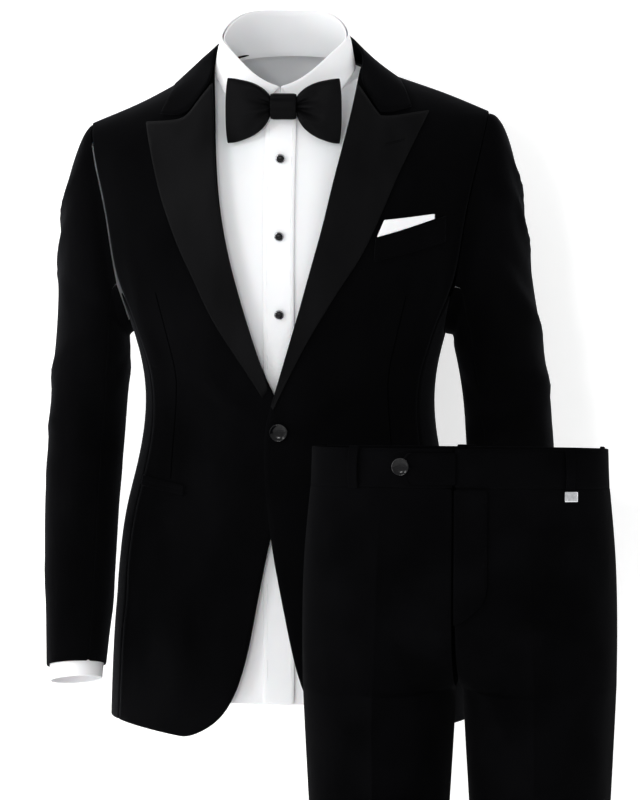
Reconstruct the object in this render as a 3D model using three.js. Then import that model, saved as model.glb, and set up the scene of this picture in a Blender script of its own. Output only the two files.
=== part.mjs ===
import * as THREE from 'three';

// An evening suit filled out as if worn: dinner jacket, dress shirt, bow tie, pocket square and
// trousers. Millimetres, +Z up. The front faces -Y, right and left are the wearer's, and the origin
// is at the base of the neck, midway between the shoulders.

// Cloth thicknesses and the gap left at every seam
const wall = { jacket: 2, facing: 1.6, shirt: 1.2, trouser: 1.8, trim: 1.4 };
const gap = 0.3;
const onPanel = 2.46;

// Jacket body: half width, and depth to the front and to the back of the axis, at each height
const torso = [
  { z: -750, half: 206, front: 128, back: 128 },
  { z: -640, half: 202, front: 127, back: 126 },
  { z: -508, half: 190, front: 124, back: 120 },
  { z: -463, half: 178, front: 121, back: 116 },
  { z: -418, half: 168, front: 118, back: 112 },
  { z: -362, half: 164, front: 117, back: 111 },
  { z: -300, half: 176, front: 126, back: 119 },
  { z: -240, half: 204, front: 132, back: 124 },
  { z: -160, half: 218, front: 131, back: 124 },
  { z: -46, half: 242, front: 120, back: 118 },
  { z: 60, half: 242, front: 104, back: 106 },
];
const fullness = 2.4;

// Height of the shoulder line at each distance from the middle
const shoulder = [
  { x: 0, z: 46 },
  { x: 40, z: 38 },
  { x: 60, z: 23 },
  { x: 75, z: 11 },
  { x: 90, z: 4 },
  { x: 110, z: -3 },
  { x: 130, z: -10 },
  { x: 170, z: -23 },
  { x: 212, z: -40 },
  { x: 226, z: -46 },
  { x: 270, z: -64 },
];
const shoulderSeamY = 4;
const shoulderGap = 1;
const shoulderRoll = { front: 2.5, back: 4 };

// How far the right shoulder hangs below the left, and where that starts and is full
const droop = { height: 16, inner: -90, outer: -180, low: -170, high: -45 };

// Share of a panel's columns that gather towards its outer edge
const bunch = 0.35;

// Armhole: its top and bottom, where the side seams meet it, and how far forward and back they lie
const armhole = { top: -46, base: -240, bottom: -300, share: 0.929, front: 62, back: 58 };
const armholeGap = 1.7;
const backNeckline = 18;

// Front edges: from the bottom corner up the cutaway, past the button and along the roll line
const frontEdge = {
  right: [
    { z: -747, x: -104 },
    { z: -743, x: -89 },
    { z: -734, x: -76 },
    { z: -721, x: -64 },
    { z: -699, x: -51 },
    { z: -654, x: -37 },
    { z: -607, x: -28 },
    { z: -520, x: -11 },
    { z: -470, x: 2 },
    { z: -413, x: 16 },
    { z: -390, x: 11 },
    { z: -372, x: -4 },
    { z: -350, x: -13.6 },
    { z: -305, x: -28 },
    { z: -260, x: -42 },
    { z: -215, x: -54 },
    { z: -170, x: -64.5 },
    { z: -124, x: -71 },
    { z: -79, x: -74.6 },
    { z: -20, x: -79.5 },
    { z: 34, x: -92 },
  ],
  left: [
    { z: -747, x: 81 },
    { z: -743, x: 66 },
    { z: -734, x: 53 },
    { z: -721, x: 41 },
    { z: -699, x: 28 },
    { z: -654, x: 14.5 },
    { z: -607, x: 5 },
    { z: -520, x: -11.3 },
    { z: -442, x: -19 },
    { z: -413, x: -22.6 },
    { z: -396, x: -21.5 },
    { z: -382, x: -14.7 },
    { z: -350, x: -4.5 },
    { z: -305, x: 9 },
    { z: -260, x: 22.6 },
    { z: -215, x: 35 },
    { z: -170, x: 47.5 },
    { z: -124, x: 57.6 },
    { z: -79, x: 67.8 },
    { z: -20, x: 79 },
    { z: 34, x: 82 },
  ],
};
const hemRise = { from: -560, low: -747, side: 12, bunch: 1.35 };
const frontGap = 0.8;
const overlapLift = { height: 2.4, from: 66, to: 26, above: -330, blend: 40 };

// Satin lapels: the roll line's ends and the outer edge from the peak down, seen from the front
const lapel = {
  right: {
    rollTop: -17,
    rollBottom: -350,
    outer: [
      { x: -158, z: -44 },
      { x: -147, z: -89 },
      { x: -136, z: -134 },
      { x: -114, z: -193 },
      { x: -101, z: -219 },
      { x: -76, z: -272 },
      { x: -56.5, z: -303 },
      { x: -36, z: -334 },
      { x: -20, z: -361 },
    ],
    vertex: { x: -112, z: -51 },
  },
  left: {
    rollTop: -17,
    rollBottom: -370,
    outer: [
      { x: 161, z: -43 },
      { x: 142, z: -84 },
      { x: 125, z: -122 },
      { x: 110, z: -160 },
      { x: 85, z: -211 },
      { x: 72, z: -229 },
      { x: 32, z: -294 },
      { x: 4, z: -348 },
      { x: -8, z: -374 },
    ],
    vertex: { x: 109, z: -50 },
  },
};
const lapelRoll = { height: 6, width: 26 };

// Collar: stations from the gorge round to the middle of the back, fuller on the right side
const collarFull = { right: 1.06, left: 1 };
const collarOut = 3.1;
const collarVertex = { x: 109, z: -48 };
const collarFront = [
  { rollX: 83, rollZ: -14.6, fallX: 141, fallZ: -38.5 },
  { rollX: 82, rollZ: 2, fallX: 136, fallZ: -27 },
  { rollX: 81, rollZ: 14, fallX: 130, fallZ: -17 },
];
const collarBack = [
  { rollX: 79, rollY: -4, rollZ: 28, fallX: 123, fallY: 4, fallZ: -5, swell: -1.5 },
  { rollX: 73, rollY: 24, rollZ: 33, fallX: 110, fallY: 44, fallZ: -9, swell: 0 },
  { rollX: 54, rollY: 49, rollZ: 44, fallX: 82, fallY: 69, fallZ: -4, swell: 3 },
  { rollX: 28, rollY: 62, rollZ: 50, fallX: 44, fallY: 80, fallZ: 0, swell: 4.5 },
  { rollX: 0, rollY: 66, rollZ: 52, fallX: 0, fallY: 84, fallZ: 2, swell: 5 },
];

// Sleeves: outer and inner edge as seen from the front, with the furthest front and back points
const sleeveRings = {
  right: [
    { outX: 231, outZ: -53, inX: 182, inZ: -302, front: -66, back: 64 },
    { outX: 241, outZ: -72, inX: 182, inZ: -306, front: -70, back: 67 },
    { outX: 252, outZ: -112, inX: 182, inZ: -316, front: -72, back: 68 },
    { outX: 259, outZ: -152, inX: 182.5, inZ: -330, front: -71, back: 67 },
    { outX: 263, outZ: -200, inX: 183, inZ: -348, front: -68, back: 66 },
    { outX: 264, outZ: -250, inX: 185, inZ: -372, front: -66, back: 64 },
    { outX: 266, outZ: -292, inX: 187, inZ: -394, front: -64, back: 62 },
    { outX: 270, outZ: -332, inX: 188, inZ: -420, front: -65, back: 56 },
    { outX: 273, outZ: -382, inX: 190, inZ: -450, front: -71, back: 46 },
    { outX: 275, outZ: -432, inX: 191, inZ: -482, front: -81, back: 32 },
    { outX: 276, outZ: -482, inX: 192, inZ: -516, front: -93, back: 16 },
    { outX: 275, outZ: -541, inX: 193, inZ: -560, front: -107, back: -2 },
    { outX: 272, outZ: -601, inX: 196, inZ: -610, front: -119, back: -20 },
    { outX: 270, outZ: -672, inX: 201, inZ: -668, front: -127, back: -38 },
    { outX: 269, outZ: -698, inX: 202, inZ: -692, front: -130, back: -44 },
  ],
  left: [
    { outX: 234, outZ: -47, inX: 183, inZ: -301, front: -66, back: 64 },
    { outX: 247, outZ: -66, inX: 184, inZ: -303, front: -70, back: 67 },
    { outX: 258, outZ: -106, inX: 185, inZ: -309, front: -72, back: 68 },
    { outX: 264, outZ: -148, inX: 187, inZ: -318, front: -71, back: 67 },
    { outX: 271, outZ: -195, inX: 190, inZ: -332, front: -68, back: 66 },
    { outX: 276, outZ: -245, inX: 194, inZ: -352, front: -66, back: 64 },
    { outX: 285, outZ: -286, inX: 197, inZ: -378, front: -64, back: 64 },
    { outX: 291, outZ: -326, inX: 199, inZ: -404, front: -60, back: 64 },
    { outX: 296, outZ: -374, inX: 200, inZ: -432, front: -58, back: 60 },
    { outX: 302, outZ: -425, inX: 204, inZ: -470, front: -62, back: 48 },
    { outX: 305, outZ: -480, inX: 210, inZ: -512, front: -70, back: 34 },
    { outX: 307, outZ: -541, inX: 217, inZ: -560, front: -80, back: 20 },
    { outX: 308, outZ: -601, inX: 226, inZ: -610, front: -89, back: 6 },
    { outX: 309, outZ: -664, inX: 235, inZ: -660, front: -96, back: -8 },
    { outX: 310, outZ: -690, inX: 238, inZ: -684, front: -99, back: -13 },
  ],
};
const sleeveHem = 13;
const headRows = 3.2;
const sleeveSlit = 0.35;
const cuff = { from: 12.2, to: 13.5, inset: 3.6 };
// Sleeve ends are cut higher at the front than at the back
const hemTilt = { slope: 0.245, from: 10, to: 14 };

// Pockets, seen from the front
const breastWelt = [
  { topX: 107, topZ: -180, lowX: 105, lowZ: -207 },
  { topX: 146, topZ: -169, lowX: 145, lowZ: -197 },
  { topX: 182, topZ: -158, lowX: 181, lowZ: -187 },
];
const pocketSquare = [
  { topX: 116, topZ: -161, lowX: 108, lowZ: -179.2 },
  { topX: 142, topZ: -158.5, lowX: 138, lowZ: -170.6 },
  { topX: 169, topZ: -155.5, lowX: 169, lowZ: -160.5 },
];
const square = { out: 3.3, thick: 2.2 };
const weltOut = 2.2;
const hipPocket = { inner: 110, outer: 166, z: -461, drop: 7, jet: 5.5, out: 1.9, swell: 0.6, thick: 1.5 };

// Button and studs
const frontButton = { x: -2, z: -399.5, radius: 10.7, thick: 4.5 };
const stud = { x: -1.5, radius: 5.6, thick: 3, heights: [-93.5, -179.5, -267.5] };

// Shirt: inset from the jacket, hem, neckline, placket and the ring of the neck
const shirtInset = 15;
const shirtAtShoulder = 5;
const shirt = { hem: -708, neckFront: -38, neckSide: 74, neckBack: 22, yoke: -62 };
const shirtSplit = -2;
const shirtRows = { low: 7, high: 7 };
const yokeSeam = 0.8;
const placket = { left: -20, right: 15, top: -40, out: 2.4 };
const neck = { middleX: -4.4, halfWidth: 71.5, middleY: -12, halfDepth: 60 };

// Height of the shirt collar's fold at each turn from the front
const collarFold = [
  { turn: 0, z: -14.5 },
  { turn: 15, z: -8.5 },
  { turn: 30, z: 4 },
  { turn: 45, z: 17.5 },
  { turn: 60, z: 28 },
  { turn: 75, z: 34.5 },
  { turn: 90, z: 40 },
  { turn: 105, z: 47.5 },
  { turn: 120, z: 56 },
  { turn: 135, z: 62.5 },
  { turn: 150, z: 65 },
  { turn: 180, z: 65 },
];
const stand = {
  opening: 0.5,
  inset: 1.4,
  flare: 4,
  flareBack: 4.2,
  below: 1.5,
  foot: 2.4,
  dip: 3,
  dipBack: 6.4,
};
const leaf = { back: 44, point: 31, side: 6, out: 1.1, spread: 7.4, opening: 0.5, cutBack: 40, cover: 2.2 };

// Bow tie: half height, half thickness and middle height of the wing at each distance from the knot
const bow = {
  y: -90.1,
  z: -35.5,
  pleat: 0.32,
  tuck: 10.6,
  knot: { x: 1, half: 14.5, high: 16.5, deep: 9, waist: 0.1 },
};
const bowWing = [
  { x: 13, high: 12.5, deep: 5, sag: 0 },
  { x: 17, high: 18, deep: 7.5, sag: -1.4 },
  { x: 22, high: 24, deep: 9, sag: -2.6 },
  { x: 34, high: 31.5, deep: 9.5, sag: -3.7 },
  { x: 47, high: 35.2, deep: 8, sag: -4.8 },
  { x: 56, high: 36, deep: 5.5, sag: -5 },
  { x: 61.2, high: 36.2, deep: 3, sag: -5 },
];

// Trousers: where the middle of the waist stands, then sections down to the crotch and down a leg
const trousers = { x: 209.6, y: -233.9, z: -392, band: 43, crotch: -274, hem: -1062, rise: 96 };
// The waist dips towards the back, all of it above one height and none below another
const lean = { slope: 0.096, from: -260, to: -40 };
const hips = [
  { z: -320, half: 171.5, front: 112, back: 120 },
  { z: -248, half: 174, front: 114, back: 124 },
  { z: -163, half: 173.5, front: 113, back: 122 },
  { z: -110, half: 171.5, front: 110, back: 118 },
  { z: -43, half: 165, front: 106, back: 108 },
  { z: 0, half: 163.5, front: 104, back: 102 },
];
const leg = [
  { z: -1062, middle: 90, half: 52, front: 74, back: 78 },
  { z: -940, middle: 89, half: 54, front: 75, back: 79 },
  { z: -800, middle: 89, half: 58, front: 77, back: 82 },
  { z: -640, middle: 89, half: 64, front: 84, back: 88 },
  { z: -480, middle: 89, half: 73.5, front: 95, back: 100 },
  { z: -375, middle: 88.5, half: 80.3, front: 104, back: 112 },
  { z: -274, middle: 88.5, half: 85, front: 112, back: 122 },
];
const roundness = 2 / 2.25;
const crease = { depth: 7, width: 0.16 };
// Rows of a leg panel are close together where the legs part
const legRows = { hip: 3, fork: 6, leg: 7 };
const band = { wall: 2.4, out: 0.9 };
const tab = { from: -62, to: 2, top: -5, low: -39, out: 2.6, thick: 1.8 };
const trouserButton = { x: -58, z: -20, radius: 10, thick: 4 };
const beltLoop = { wide: 11, high: 46, top: 2, out: 1.7, bow: 2.4, thick: 1.5 };
const beltLoopAngles = [-39.3, 46.5, 112, 180, 248];
const fly = { wide: 36, top: -45, low: -192, out: 2.7, thick: 1.2 };
const plate = { x: 125.3, z: -51.7, wide: 13, high: 10.5, thick: 1.2 };

// Materials
const finish = (color, roughness, metalness = 0) =>
  new THREE.MeshStandardMaterial({ color, roughness, metalness });
const velvet = () => finish(0x07070a, 0.92);
const satin = () => finish(0x141416, 0.42);
const shirting = () => finish(0xf1f1f3, 0.82);
const wool = () => finish(0x08080a, 0.85);
const gloss = () => finish(0x0a0a0c, 0.12);
const silver = () => finish(0xb8babd, 0.28, 1);

const suit = new THREE.Group();

function add(name, geometry, material) {
  const mesh = new THREE.Mesh(geometry, material);
  mesh.name = name;
  suit.add(mesh);
  return mesh;
}

const mix = (a, b, t) => a + (b - a) * t;
const clamp = (value, low, high) => Math.min(Math.max(value, low), high);
const ease = (from, to, value) => {
  const t = clamp((value - from) / (to - from), 0, 1);
  return t * t * (3 - 2 * t);
};
const sides = [
  { name: 'right', sign: -1 },
  { name: 'left', sign: 1 },
];
const radians = THREE.MathUtils.degToRad;

// One column of a table, read smoothly between its rows
function read(table, key, name, at) {
  const last = table.length - 1;
  if (at <= table[0][key]) return table[0][name];
  if (at >= table[last][key]) return table[last][name];
  let i = 0;
  while (at > table[i + 1][key]) i += 1;
  const slope = (k) => {
    const before = table[Math.max(k - 1, 0)];
    const after = table[Math.min(k + 1, last)];
    return (after[name] - before[name]) / (after[key] - before[key]);
  };
  const width = table[i + 1][key] - table[i][key];
  const t = (at - table[i][key]) / width;
  const s = 1 - t;
  const values = table[i][name] * (1 + 2 * t) * s * s + table[i + 1][name] * t * t * (3 - 2 * t);
  return values + width * (slope(i) * t * s * s - slope(i + 1) * t * t * s);
}

// A row of a table counted from 0, read smoothly between whole rows
function readStep(table, name, step) {
  const i = clamp(Math.floor(step), 0, table.length - 2);
  const at = (k) => table[clamp(k, 0, table.length - 1)][name];
  const t = step - i;
  const bend = (at(i + 1) - at(i - 1)) / 2;
  const next = (at(i + 2) - at(i)) / 2;
  const s = 1 - t;
  const values = at(i) * (1 + 2 * t) * s * s + at(i + 1) * t * t * (3 - 2 * t);
  return values + bend * t * s * s - next * t * t * s;
}

// A closed body between an outer and an inner grid of points
function body(outer, inner, ring) {
  const rows = outer.length;
  const columns = outer[0].length;
  const points = [...outer.flat(), ...inner.flat()];
  const half = rows * columns;
  const faces = [];
  const quad = (a, b, c, d) => faces.push(a, b, c, a, c, d);
  const at = (i, j) => i * columns + (j % columns);
  const spans = ring ? columns : columns - 1;
  for (let i = 0; i < rows - 1; i += 1) {
    for (let j = 0; j < spans; j += 1) {
      const corners = [at(i, j), at(i, j + 1), at(i + 1, j + 1), at(i + 1, j)];
      quad(...corners);
      quad(...corners.reverse().map((corner) => corner + half));
    }
    if (!ring) {
      quad(at(i, 0), at(i + 1, 0), at(i + 1, 0) + half, at(i, 0) + half);
      const end = columns - 1;
      quad(at(i + 1, end), at(i, end), at(i, end) + half, at(i + 1, end) + half);
    }
  }
  for (let j = 0; j < spans; j += 1) {
    quad(at(0, j + 1), at(0, j), at(0, j) + half, at(0, j + 1) + half);
    const end = rows - 1;
    quad(at(end, j), at(end, j + 1), at(end, j + 1) + half, at(end, j) + half);
  }
  return fromFaces(points, faces);
}

// Geometry from points and triangles, turned so that its faces point out
function fromFaces(points, faces) {
  let volume = 0;
  for (let k = 0; k < faces.length; k += 3) {
    const [a, b, c] = [points[faces[k]], points[faces[k + 1]], points[faces[k + 2]]];
    volume += a.dot(b.clone().cross(c));
  }
  if (volume < 0) faces.reverse();
  const geometry = new THREE.BufferGeometry();
  const positions = points.flatMap((point) => point.toArray());
  geometry.setAttribute('position', new THREE.Float32BufferAttribute(positions, 3));
  geometry.setIndex(faces);
  geometry.computeVertexNormals();
  return geometry;
}

// Cloth: the grid is its outer face, and the inner face lies the thickness towards the core
function cloth(grid, thickness, core, ring = false) {
  const rows = grid.length;
  const columns = grid[0].length;
  const column = (j) => (ring ? (j + columns) % columns : clamp(j, 0, columns - 1));
  const pick = (i, j) => grid[clamp(i, 0, rows - 1)][column(j)];
  let facing = 0;
  const normals = grid.map((row, i) =>
    row.map((point, j) => {
      const across = pick(i, j + 1).clone().sub(pick(i, j - 1));
      const along = pick(i + 1, j).clone().sub(pick(i - 1, j));
      const normal = across.cross(along).normalize();
      facing += normal.dot(point.clone().sub(core(point, i, j)));
      return normal;
    }),
  );
  const inward = facing > 0 ? -thickness : thickness;
  const inner = grid.map((row, i) =>
    row.map((point, j) => point.clone().addScaledVector(normals[i][j], inward)),
  );
  return body(grid, inner, ring);
}
const coreTop = -60;
const axisCore = (point) => new THREE.Vector3(0, 0, Math.min(point.z, coreTop));

function grid(rows, columns, place) {
  return Array.from({ length: rows + 1 }, (_, i) =>
    Array.from({ length: columns + 1 }, (_, j) => place(i / rows, j / columns, i, j)),
  );
}

// A solid through closed rings, with a flat cap at each end
function loft(rings) {
  const count = rings[0].length;
  const points = rings.flat();
  const faces = [];
  for (let i = 0; i < rings.length - 1; i += 1) {
    for (let j = 0; j < count; j += 1) {
      const next = (j + 1) % count;
      const [a, b] = [i * count + j, i * count + next];
      faces.push(a, b, b + count, a, b + count, a + count);
    }
  }
  const cap = (start, flip) => {
    const middle = new THREE.Vector3();
    for (let j = 0; j < count; j += 1) middle.addScaledVector(points[start + j], 1 / count);
    const centre = points.push(middle) - 1;
    for (let j = 0; j < count; j += 1) {
      const next = start + ((j + 1) % count);
      faces.push(...(flip ? [centre, next, start + j] : [centre, start + j, next]));
    }
  };
  cap(0, true);
  cap((rings.length - 1) * count, false);
  return fromFaces(points, faces);
}

// The filled-out body

const shoulderHeight = (x) => read(shoulder, 'x', 'z', Math.abs(x));
const halfWidth = (z) => read(torso, 'z', 'half', z);
const depth = (z, face) => read(torso, 'z', face < 0 ? 'front' : 'back', z);
const section = (share) => Math.max(1 - share ** fullness, 0) ** (1 / fullness);

// A point on the front (face -1) or back (face 1), rolling over to the shoulder above the armhole's base
function skinPoint(x, z, face) {
  const share = Math.min(Math.abs(x) / halfWidth(z), 0.999);
  const level = face * depth(z, face) * section(share);
  if (z <= armhole.base) return new THREE.Vector3(x, level, z);
  const t = clamp((z - armhole.base) / (shoulderHeight(x) - armhole.base), 0, 1);
  const roll = Math.sqrt(1 - t ** (face < 0 ? shoulderRoll.front : shoulderRoll.back));
  return new THREE.Vector3(x, mix(shoulderSeamY, level, roll), z);
}

// The same point moved out by a distance square to the cloth
function skin(x, z, face, out = 0) {
  const step = 1.5;
  const point = skinPoint(x, z, face);
  if (out === 0) return point;
  const across = skinPoint(x + step, z, face).sub(skinPoint(x - step, z, face));
  const up = skinPoint(x, z + step, face).sub(skinPoint(x, z - step, face));
  const normal = across.cross(up).normalize();
  if (normal.y * face < 0 && normal.z < 0.5) normal.negate();
  if (normal.z < -0.5) normal.negate();
  return point.addScaledVector(normal, out);
}

const none = () => 0;
const armholeX = (z) => armhole.share * halfWidth(z);
const seamX = (z, face) => {
  const reach = face < 0 ? armhole.front : armhole.back;
  return halfWidth(z) * section(Math.min(reach / depth(z, face), 1));
};
const sideEdge = (z, face) => (z < armhole.base ? seamX(z, face) : armholeX(z));

// Where a row of given heights meets an edge, found by a few steps between the two
function settle(start, heightAt, edgeAt) {
  let x = start;
  for (let k = 0; k < 6; k += 1) x = edgeAt(heightAt(x));
  return x;
}

// Share of the height above the armhole's base, in equal steps round the armhole's loop
const loopMiddle = (armhole.top + armhole.bottom) / 2;
const loopHalf = armhole.top - loopMiddle;
const baseAngle = THREE.MathUtils.radToDeg(Math.acos((armhole.base - loopMiddle) / loopHalf));
const loopHeight = (angle) => loopMiddle + loopHalf * Math.cos(radians(angle));
const loopRise = (v) => (loopHeight(baseAngle * (1 - v)) - armhole.base) / (armhole.top - armhole.base);

// Columns lie closer together towards the outer edge, and rows towards a cutaway hem
const towardsEdge = (u) => mix(u, Math.sin((u * Math.PI) / 2), bunch);
const hemBunch = (hem) => (hem <= hemRise.low ? hemRise.bunch : 1);

// A panel of the body from an edge out to the side seam and the armhole
function bodyPanel({ sign, face, edge, top, hem, low, high, columns, inset = none, lift = none, rise = 0 }) {
  return grid(low + high, columns, (v, u, i) => {
    const spread = towardsEdge(u);
    let x;
    let z;
    if (i <= low) {
      const zFront = mix(hem, armhole.base, (i / low) ** hemBunch(hem));
      const fall = clamp((hemRise.from - zFront) / (hemRise.from - hemRise.low), 0, 1);
      z = zFront + rise * spread * fall ** 1.5;
      x = mix(edge(zFront), sign * (sideEdge(z, face) - gap), spread);
    } else {
      const t = loopRise((i - low) / high);
      const heightAt = (at) => mix(armhole.base, top(at), t);
      const inner = settle(edge(armhole.base), heightAt, edge);
      const outer = settle(sign * armholeX(armhole.base), heightAt, (at) => sign * armholeX(at));
      x = mix(inner, outer, spread);
      z = heightAt(x);
    }
    const point = skin(x, z, face, lift(x, z) - inset(x, z));
    const open = i > low ? ((i - low) / high) ** 4 : 0;
    point.y += face * shoulderGap * open;
    return point;
  });
}
function jacketFront({ name, sign }) {
  const edge = (z) => read(frontEdge[name], 'z', 'x', z) + sign * frontGap;
  const lift = (x, z) => {
    const across = 1 - ease(overlapLift.to, overlapLift.from, x);
    const low = 1 - ease(overlapLift.above - overlapLift.blend, overlapLift.above + overlapLift.blend, z);
    return sign > 0 ? overlapLift.height * across * low : 0;
  };
  return bodyPanel({
    sign,
    face: -1,
    edge,
    top: shoulderHeight,
    hem: hemRise.low,
    low: 13,
    high: 7,
    columns: 8,
    lift,
    rise: hemRise.side,
  });
}

function sidePanel({ sign }, { inset, hem, rows, columns }) {
  return grid(rows, columns, (v, u) => {
    const y = mix(2 * gap - armhole.front, armhole.back - 2 * gap, u);
    const reach = y < 0 ? armhole.front : armhole.back;
    const bowl = 1 - Math.sqrt(Math.max(1 - (y / reach) ** 2, 0));
    const z = mix(hem, mix(armhole.bottom, armhole.base, bowl), v);
    const across = Math.abs(y) / depth(z, y);
    const x = halfWidth(z) * section(across);
    const slopeX = (x / halfWidth(z)) ** (fullness - 1) / halfWidth(z);
    const slopeY = (across ** (fullness - 1) / depth(z, y)) * Math.sign(y);
    const normal = new THREE.Vector3(slopeX, slopeY, 0).normalize();
    return new THREE.Vector3(sign * (x - normal.x * inset), y - normal.y * inset, z);
  });
}

function jacketBack({ sign }) {
  return bodyPanel({
    sign,
    face: 1,
    edge: () => sign * gap,
    top: (x) => Math.min(shoulderHeight(x), backNeckline),
    hem: hemRise.low + hemRise.side,
    low: 11,
    high: 7,
    columns: 7,
  });
}

for (const side of sides) {
  add(`jacket_front_${side.name}`, cloth(jacketFront(side), wall.jacket, axisCore), velvet());
  const sideShape = { inset: 0, hem: hemRise.low + hemRise.side, rows: 11, columns: 4 };
  add(`jacket_side_${side.name}`, cloth(sidePanel(side, sideShape), wall.jacket, axisCore), velvet());
  add(`jacket_back_${side.name}`, cloth(jacketBack(side), wall.jacket, axisCore), velvet());
}

// Lapels lie on the fronts, and lift in a soft roll along the fold
function lapelGrid({ name, sign }) {
  const shape = lapel[name];
  const curve = new THREE.CatmullRomCurve3(shape.outer.map(({ x, z }) => new THREE.Vector3(x, 0, z)));
  const fold = (z) => read(frontEdge[name], 'z', 'x', z);
  const bend = 0.45;
  return grid(15, 7, (v, u) => {
    const zFold = mix(shape.rollTop, shape.rollBottom, v);
    const outer = curve.getPointAt(v);
    let x = mix(fold(zFold), outer.x, u);
    let z = mix(zFold, outer.z, u);
    const peak = curve.getPointAt(0);
    const straightX = mix(fold(shape.rollTop), peak.x, bend);
    const straightZ = mix(shape.rollTop, peak.z, bend);
    const pull = (1 - Math.abs(u - bend) / (u < bend ? bend : 1 - bend)) * (1 - v) ** 4;
    x += (shape.vertex.x - straightX) * pull;
    z += (shape.vertex.z - straightZ) * pull;
    const reach = Math.abs(x - fold(z));
    const fade = Math.min(1, 1.3 * (1 - v));
    const roll = lapelRoll.height * Math.exp(-((reach / lapelRoll.width) ** 2)) * fade;
    const lift = sign > 0 ? overlapLift.height * ease(0.75, 1, v) : 0;
    return skin(x, z, -1, onPanel + lift + roll);
  });
}

// The collar runs from one gorge round the back of the neck to the other
function collarRow(station, sign) {
  const count = 6;
  const bend = 0.55;
  return Array.from({ length: count + 1 }, (_, j) => {
    const u = j / count;
    if (station < collarFront.length) {
      const row = collarFront[station];
      const pull = 1 - Math.abs(u - bend) / (u < bend ? bend : 1 - bend);
      const share = station === 0 ? pull : 0;
      const straightX = mix(collarFront[0].rollX, collarFront[0].fallX, bend);
      const straightZ = mix(collarFront[0].rollZ, collarFront[0].fallZ, bend);
      const x = mix(row.rollX, row.fallX, u) + share * (collarVertex.x + 1 - straightX);
      const z = mix(row.rollZ, row.fallZ, u) + share * (collarVertex.z + 1.4 - straightZ);
      const roll = lapelRoll.height * (1 - u) ** 2;
      const height = Math.min(z, shoulderHeight(x) - 2);
      const point = skin(x, height, -1, collarOut + roll);
      return new THREE.Vector3(sign * point.x, point.y, point.z + z - height);
    }
    const row = collarBack[station - collarFront.length];
    const full = sign < 0 ? collarFull.right : collarFull.left;
    const swell = row.swell * Math.sin(u * Math.PI);
    const away = new THREE.Vector2(row.rollX + 1, row.rollY + 12).normalize().multiplyScalar(swell);
    return new THREE.Vector3(
      sign * (mix(row.rollX, row.fallX, u) * full + away.x * Math.sign(row.rollX)),
      mix(row.rollY, row.fallY, u) + away.y,
      mix(row.rollZ, row.fallZ, u) + swell * 0.5,
    );
  });
}

function collarGrid() {
  const stations = collarFront.length + collarBack.length;
  const right = Array.from({ length: stations }, (_, station) => collarRow(station, -1));
  const left = Array.from({ length: stations - 1 }, (_, station) => collarRow(station, 1)).reverse();
  return [...right, ...left];
}

for (const side of sides) {
  add(`lapel_${side.name}`, cloth(lapelGrid(side), wall.facing, axisCore), satin());
}
add('jacket_collar', cloth(collarGrid(), wall.jacket, axisCore), velvet());

// Sleeves

// The armhole's loop: 0 at the shoulder, 90 at the front, 180 under the arm and 270 at the back
function armholePoint(angle) {
  const z = loopHeight(angle);
  const face = Math.sin(radians(angle)) < 0 ? 1 : -1;
  if (z > armhole.base) return skinPoint(armholeX(z), Math.min(z, armhole.top - 0.01), face);
  const drop = (armhole.base - z) / (armhole.base - armhole.bottom);
  const y = (face < 0 ? armhole.front : armhole.back) * Math.sqrt(Math.max(1 - drop * drop, 0));
  return new THREE.Vector3(halfWidth(z) * section(y / depth(z, face)), face * y, z);
}

// A point of a sleeve: step 0 is the armhole, and each step after it is a row of the table
function sleevePoint(name, step, angle, inset = 0) {
  const table = sleeveRings[name];
  const at = (column) => readStep(table, column, Math.max(step - 1, 0));
  const turn = radians(angle);
  const half = (a, b) => (at(a) + at(b)) / 2;
  const middle = new THREE.Vector3(half('outX', 'inX'), half('front', 'back'), half('outZ', 'inZ'));
  const outward = new THREE.Vector3(at('outX') - at('inX'), 0, at('outZ') - at('inZ')).divideScalar(2);
  const forward = (at('back') - at('front')) / 2;
  const point = middle.clone().addScaledVector(outward, Math.cos(turn));
  point.y -= forward * Math.sin(turn);
  const blend = ease(0, headRows, step);
  if (blend < 1) {
    const loop = armholePoint(angle);
    const centre = new THREE.Vector3(armholeX(loopMiddle), 0, loopMiddle);
    const shift = middle.clone().sub(centre).multiplyScalar(Math.min(step, 1));
    loop.x += armholeGap + shift.x * Math.min(step, 1);
    loop.z += shift.z;
    point.lerp(loop, 1 - blend);
  }
  point.z += hemTilt.slope * ease(hemTilt.from, hemTilt.to, step) * (middle.y - point.y);
  if (inset) {
    const reach = point.distanceTo(middle);
    point.lerp(middle, inset / reach);
  }
  return point;
}

function sleeveGrid({ name, sign }, from, to, rows, columns, first, last, inset = 0) {
  return grid(rows, columns, (v, u) => {
    const step = mix(first, last, v);
    const point = sleevePoint(name, step, mix(from, to, u), inset);
    return new THREE.Vector3(sign * point.x, point.y, point.z);
  });
}

// A wall of a tube between two angles, from a step to another
function tubeWall(side, from, to, rows, columns, first, last, thickness, inset = 0) {
  const outer = sleeveGrid(side, from, to, rows, columns, first, last, inset);
  const inner = sleeveGrid(side, from, to, rows, columns, first, last, inset + thickness);
  return body(outer, inner, false);
}

for (const side of sides) {
  const [front, back] = [baseAngle, 360 - baseAngle];
  const [from, to] = [back - 360 + sleeveSlit, front - sleeveSlit];
  const top = tubeWall(side, from, to, 13, 14, 0, sleeveHem + 1, wall.jacket);
  add(`sleeve_top_${side.name}`, top, velvet());
  const under = tubeWall(side, front + sleeveSlit, back - sleeveSlit, 13, 6, 0, sleeveHem + 1, wall.jacket);
  add(`sleeve_under_${side.name}`, under, velvet());
}

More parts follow.
